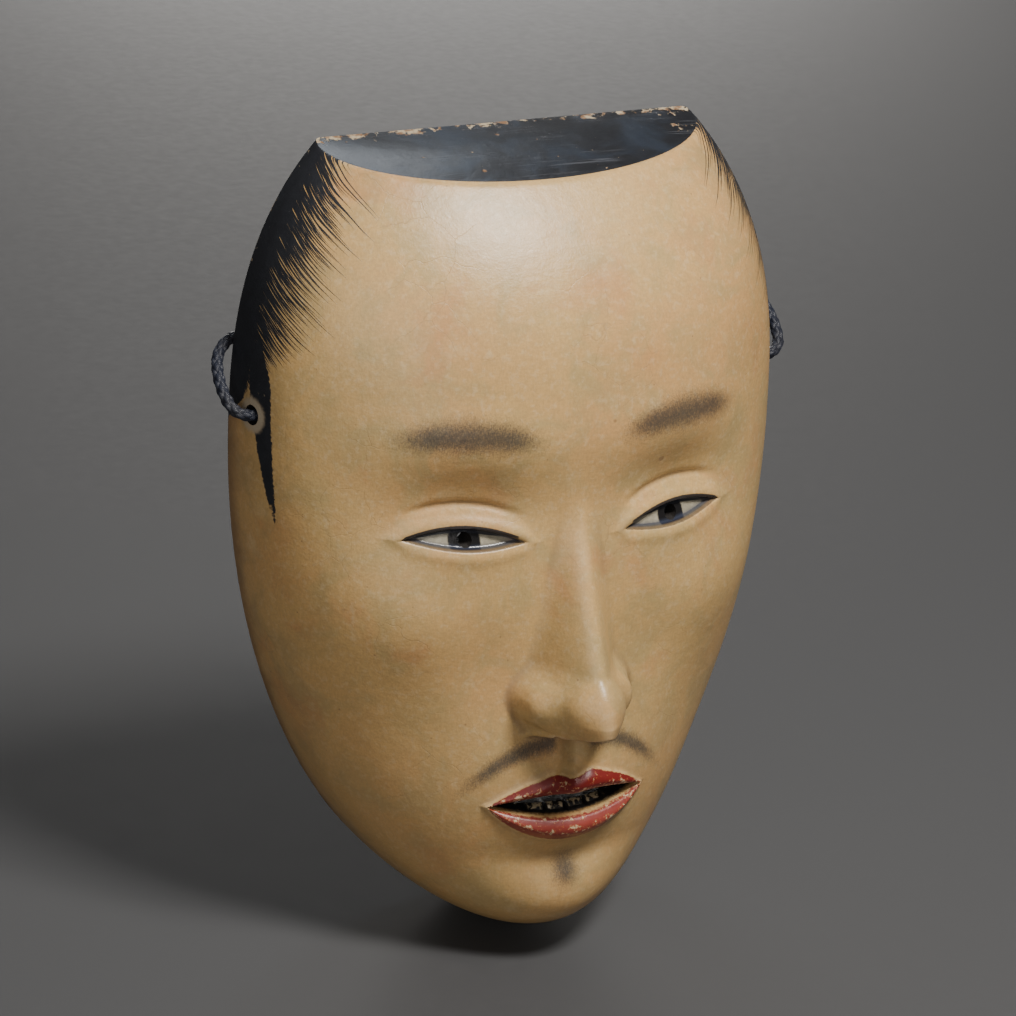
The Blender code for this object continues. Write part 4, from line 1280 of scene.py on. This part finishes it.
def hank_turns():
    """The folded run: laps of a round-ended slot, each a cord's thickness behind the last.

    A lap is a straight run down, a half circle, a straight run up and a half circle.
    """
    fold = (HANK_WIDTH - CORD_DIAMETER) / 2
    straight = HANK_LENGTH - HANK_WIDTH
    lap = 2 * straight + 2 * math.pi * fold
    way = np.linspace(3.0, HANK_TURNS * lap, round(HANK_TURNS * 26))
    at = way % lap
    bend_down, bend_up = (at - straight) / fold, (at - 2 * straight - math.pi * fold) / fold
    across = np.select([at < straight, bend_down < math.pi, bend_up < 0],
                       [fold, fold * np.cos(bend_down), -fold], -fold * np.cos(bend_up))
    low, high = -HANK_LENGTH + HANK_WIDTH / 2, -HANK_WIDTH / 2
    up = np.select([at < straight, bend_down < math.pi, bend_up < 0],
                   [high - at, low - fold * np.sin(bend_down), low + at - straight - math.pi * fold],
                   high + fold * np.sin(bend_up))
    back = -2 * CORD_DIAMETER + CORD_DIAMETER * way / lap
    swell = 1 + 0.05 * np.sin(way / 23.0)
    return stacked(across * swell, back, up)


def hanging_route():
    """From the knot down to the hank, through its laps and out to the bound end."""
    return np.vstack([DROP_ROUTE, from_hank(hank_turns()), TAIL_ROUTE])


def knot_route():
    """Two and a third turns of the cord round the loop's neck."""
    turn = np.linspace(0, 2.35 * 2 * math.pi, 40)
    radius, start = 2.95, 0.9
    return stacked(KNOT_ACROSS - 3.3 + 6.6 * turn / turn[-1],
                   -HOLE_DEPTH + radius * np.sin(turn + start), radius * np.cos(turn + start))


def tie_route(thread):
    """Thread wound closely round the hank: a rounded square that climbs a thread a lap."""
    half, corner = HANK_WIDTH / 2 + 0.35, 3.2
    turn = np.linspace(0, 2 * math.pi, 48, endpoint=False)
    laps = math.floor((TIE_HEIGHT - thread) / (1.02 * thread))
    across, back = (np.tile(np.sign(wave) * (half - corner) + corner * wave, laps)
                    for wave in (np.cos(turn), np.sin(turn)))
    up = np.linspace(-0.5, 0.5, len(across)) * (TIE_HEIGHT - thread)
    return from_hank(stacked(across, back, up - HANK_LENGTH / 2))


def binding_route(thread):
    """Thread wound closely round the end of the cord."""
    laps = math.floor((BINDING_LENGTH - thread) / (1.02 * thread))
    turn = np.linspace(0, laps * 2 * math.pi, laps * 20)
    radius = CORD_DIAMETER / 2 - 0.02
    up = np.linspace(-0.5, 0.5, len(turn)) * (BINDING_LENGTH - thread)
    return stacked(BINDING_PLACE[0] + radius * np.cos(turn),
                   BINDING_PLACE[1] + radius * np.sin(turn), BINDING_PLACE[2] + up)


# ---------------------------------------------------------------- pads

def pad_mesh(name, place, level, half_width, half_height, thickness):
    """A pillow between the hollow's front and a crown: two grids of points joined at their rim."""
    v, u = np.meshgrid(np.linspace(-1, 1, 41), np.linspace(-1, 1, 49), indexing="ij")
    shrink_u, shrink_v = u * np.sqrt(1 - v**2 / 2), v * np.sqrt(1 - u**2 / 2)
    across = place + (half_width - 0.8) * shrink_u
    height = level + (half_height - 0.8) * shrink_v
    front = dome_depth(across, height, WALL) - 1.5
    crown = np.power(unit(1 - shrink_u**2 - shrink_v**2), 0.45)
    grids = [stacked(across, rise - front, height)
             for rise in (0 * crown, 0.4 + (thickness - 1.4) * crown)]
    rims = [np.concatenate([grid[0], grid[1:, -1], grid[-1, -2::-1], grid[-2::-1, 0]])
            for grid in grids]
    patches = Patches()
    for points, flip in ((grids[0], False), (grids[1], True), (np.stack(rims), True)):
        patches.grid(points, 0, flip)
    return patches.mesh(name)


CLOTH_FRAMES = 20


def swell(item, settings):
    """Blow the pad up as cloth, with each point's travel capped and nothing left running."""
    remesh = item.modifiers.new("even faces", "REMESH")
    remesh.mode = "VOXEL"
    remesh.voxel_size = 1.3 * MM
    bake(item)
    start = read(item.data.vertices, "co", 3)
    cloth = item.modifiers.new("stuffing", "CLOTH")
    cloth.settings.use_pressure = True
    cloth.settings.uniform_pressure_force = settings.pressure
    cloth.settings.effector_weights.gravity = 0.0
    cloth.settings.quality = 6
    cloth.settings.tension_stiffness = 25.0
    cloth.settings.compression_stiffness = 25.0
    for number in range(1, CLOTH_FRAMES + 1):
        bpy.context.scene.frame_set(number)
    bake(item)
    moved = read(item.data.vertices, "co", 3) - start
    far = np.linalg.norm(moved, axis=1)[:, None]
    moved = moved * np.minimum(1.0, settings.travel / np.maximum(far, 1e-9))
    moved[:, 1] = np.where(moved[:, 1] < 0, moved[:, 1] * 0.35, moved[:, 1])
    item.data.vertices.foreach_set("co", (start + moved).astype(np.float32).ravel())
    bpy.context.scene.frame_set(1)
    finer = item.modifiers.new("finer", "SUBSURF")
    finer.levels = 1
    finer.render_levels = 1
    bake(item)


def bake(item):
    """Apply every modifier of the item to its mesh."""
    graph = bpy.context.evaluated_depsgraph_get()
    mesh = bpy.data.meshes.new_from_object(item.evaluated_get(graph))
    old = item.data
    item.modifiers.clear()
    item.data = mesh
    bpy.data.meshes.remove(old)


def stitched_edge(item, place, level, half_width, half_height):
    """Press a sewn channel into the pad a little inside its edge, puckered by its stitches."""
    points = read(item.data.vertices, "co", 3)
    normals = read(item.data.vertices, "normal", 3)
    across = (points[:, 0] / MM - place) / half_width
    height = (points[:, 2] / MM + HOLE_HEIGHT - level) / half_height
    reach = np.hypot(across, height)
    turn = np.arctan2(height, across)
    pucker = 0.75 + 0.25 * np.cos(turn * round((half_width + half_height) * math.pi / 4.5))
    channel = bell((reach - 0.80) * min(half_width, half_height), 0.9) * (normals[:, 1] > 0.2)
    points = points - normals * (0.55 * MM * channel * pucker)[:, None]
    item.data.vertices.foreach_set("co", points.astype(np.float32).ravel())
    item.data.update()


# ---------------------------------------------------------------- operators

def put(data, place, turn):
    """A camera or lamp in the scene, at its place and turned."""
    item = bpy.data.objects.new(data.name, data)
    bpy.context.scene.collection.objects.link(item)
    item.location = place
    item.rotation_mode = "QUATERNION"
    item.rotation_quaternion = turn
    return item


class NOH_OT_stage(bpy.types.Operator):
    """Camera, soft studio light and grey floor"""

    bl_idname = "noh.stage"
    bl_label = "Stage"

    def execute(self, context):
        """Aim the camera at the mask and light it from above."""
        scene, settings = context.scene, context.scene.noh_stage
        aim = Vector((-0.0045, -0.020, -0.0294))
        away = Vector((math.sin(settings.azimuth) * math.cos(settings.elevation),
                       -math.cos(settings.azimuth) * math.cos(settings.elevation),
                       math.sin(settings.elevation)))
        turn = away.to_track_quat("Z", "Y") @ Quaternion((0, 0, 1), settings.roll)
        camera = put(bpy.data.cameras.new("camera"), aim + away * settings.distance, turn)
        camera.data.lens = 134
        camera.data.sensor_width = 36
        scene.camera = camera
        low = CAD_BOX[0][2] - 0.0015
        corners = [(-3, -3, low), (3, -3, low), (3, 3, low), (-3, 3, low)]
        floor = bpy.data.meshes.new("floor")
        floor.from_pydata(corners, [], [(0, 1, 2, 3)])
        link("floor", floor, paper_floor())
        warm, cool = (1.0, 0.97, 0.93), (0.86, 0.93, 1.0)
        for name, place, size, share, colour in (("key_light", (0.15, -0.46, 0.68), 0.21, 0.74, warm),
                                                 ("fill_light", (-1.0, -1.3, 0.25), 1.4, 0.72, warm),
                                                 ("rim_light", (0.21, 0.50, 0.80), 0.24, 0.06, cool),
                                                 ("back_light", (0.55, 1.3, 0.14), 0.5, 0.65, warm)):
            lamp = bpy.data.lights.new(name, "AREA")
            lamp.energy = share * settings.light
            lamp.size = size
            lamp.color = colour
            put(lamp, place, (Vector(place) - aim).to_track_quat("Z", "Y"))
        world = bpy.data.worlds.new("studio")
        world.use_nodes = True
        sky = world.node_tree.nodes["Background"].inputs
        sky["Color"].default_value = (0.80, 0.81, 0.84, 1)
        sky["Strength"].default_value = 0.11
        scene.world = world
        return {"FINISHED"}


class NOH_OT_cords(bpy.types.Operator):
    """Braided tie cords, their knots, hanks and bindings"""

    bl_idname = "noh.cords"
    bl_label = "Cords"

    def execute(self, context):
        """Make both cords and their threads, each piece attached to its body."""
        settings = context.scene.noh_cords
        silk, red = braided_silk(settings), wound_thread(settings)
        radius, thread = settings.diameter / 2 / MM, settings.thread / MM
        for prefix, side in (("right", -1), ("left", 1)):
            free_body = f"{prefix}_cord"
            pieces = {}
            for name, points, step, half, weave, coat, body, slot, nodes in (
                    ("knotted_cord", knot_route(), 0.3, radius, (32, *BRAID), silk,
                     "mask", "dark_silk", ("hitch_knot",)),
                    ("rim_cord", RIM_ROUTE, 0.3, radius, (32, *BRAID), silk,
                     "mask", "dark_silk", ("rim_loop",)),
                    ("hank_thread", tie_route(thread), 0.7, thread / 2, (8, 1.6, 1, 0.05), red,
                     free_body, "red_thread", ("hank_tie",)),
                    ("end_thread", binding_route(END_THREAD), 0.45, END_THREAD / 2,
                     (8, 1.2, 1, 0.03), red, free_body, "red_thread", ("end_binding",)),
                    ("hanging_cord", hanging_route(), 0.4, radius, (24, *BRAID), silk,
                     free_body, "dark_silk", ("cord_drop", "cord_hank", "cord_tail"))):
                route = smooth_route(mirrored(side, points), step)
                item = link(f"{prefix}_{name}", round_tube(name, route, half, *weave), coat)
                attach(item, body)
                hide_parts(*(f"{prefix}_{node}" for node in nodes))
                pieces[name] = item, route
            for name, metres, lay, others in (
                    ("rim_cord", 0.062, "taut", ("knotted_cord",)),
                    ("hanging_cord", 0.49, "hanging", ("hank_thread", "end_thread"))):
                item, route = pieces[name]
        return {"FINISHED"}


class NOH_OT_mask(bpy.types.Operator):
    """Carved, pierced and painted block"""

    bl_idname = "noh.mask"
    bl_label = "Carved mask"

    def execute(self, context):
        """Carve the block, open its holes and lay on its coats."""
        settings = context.scene.noh_mask
        item = link("carved_mask", body_patches(settings).mesh("carved_mask"),
                    painted_skin(settings), cap_lacquer(settings),
                    stained_wood("stained_hollow", settings, 0.27),
                    stained_wood("worn_rim", settings, 0.40), bore_shadow())
        pierce(item)
        item.data.name = "carved_mask"
        item.data.shade_smooth()
        item.data.set_sharp_from_angle(angle=math.radians(50))
        paint_fields(item.data)
        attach(item, "mask")
        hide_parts("mask_body")
        return {"FINISHED"}


class NOH_OT_pads(bpy.types.Operator):
    """Cotton pads that keep the mask off the face"""

    bl_idname = "noh.pads"
    bl_label = "Pads"

    def execute(self, context):
        """Swell and stitch each pad."""
        settings = context.scene.noh_pads
        cotton = unbleached_cotton(settings)
        for name, *sizes in PADS:
            item = link(f"{name}_cotton", pad_mesh(name, *sizes))
            swell(item, settings)
            item.data.name = item.name
            item.data.materials.clear()
            item.data.materials.append(cotton)
            item.data.shade_smooth()
            stitched_edge(item, *sizes[:4])
            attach(item, "mask")
            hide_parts(name)
        return {"FINISHED"}


class NOH_PT_panel(bpy.types.Panel):
    """Lists the settings and the steps that finish the mask"""

    bl_idname = "NOH_PT_panel"
    bl_label = "Noh Mask"
    bl_space_type = "VIEW_3D"
    bl_region_type = "UI"
    bl_category = "Noh Mask"

    def draw(self, context):
        """One box for each step, with its settings under its button."""
        for step, group in STEPS:
            box = self.layout.box()
            box.operator(step.bl_idname)
            settings = getattr(context.scene, group)
            for name in type(settings).__annotations__:
                box.prop(settings, name)


GROUPS = {"noh_stage": StageSettings, "noh_cords": CordSettings, "noh_mask": MaskSettings,
          "noh_pads": PadSettings}
STEPS = ((NOH_OT_stage, "noh_stage"), (NOH_OT_cords, "noh_cords"), (NOH_OT_mask, "noh_mask"),
         (NOH_OT_pads, "noh_pads"))


def register():
    """Register the settings, the steps and the panel."""
    for name, group in GROUPS.items():
        bpy.utils.register_class(group)
        setattr(bpy.types.Scene, name, PointerProperty(type=group))
    for step, _ in STEPS:
        bpy.utils.register_class(step)
    bpy.utils.register_class(NOH_PT_panel)


def unregister():
    """Take back everything that register added."""
    bpy.utils.unregister_class(NOH_PT_panel)
    for step, _ in reversed(STEPS):
        bpy.utils.unregister_class(step)
    for name, group in GROUPS.items():
        delattr(bpy.types.Scene, name)
        bpy.utils.unregister_class(group)


def main():
    """Make the stage and every piece."""
    register()
    for row in EFFECTS:
        make_effect(*row)
    bpy.ops.noh.stage()
    bpy.ops.noh.cords()
    bpy.ops.noh.mask()
    bpy.ops.noh.pads()


if __name__ == "__main__":
    main()
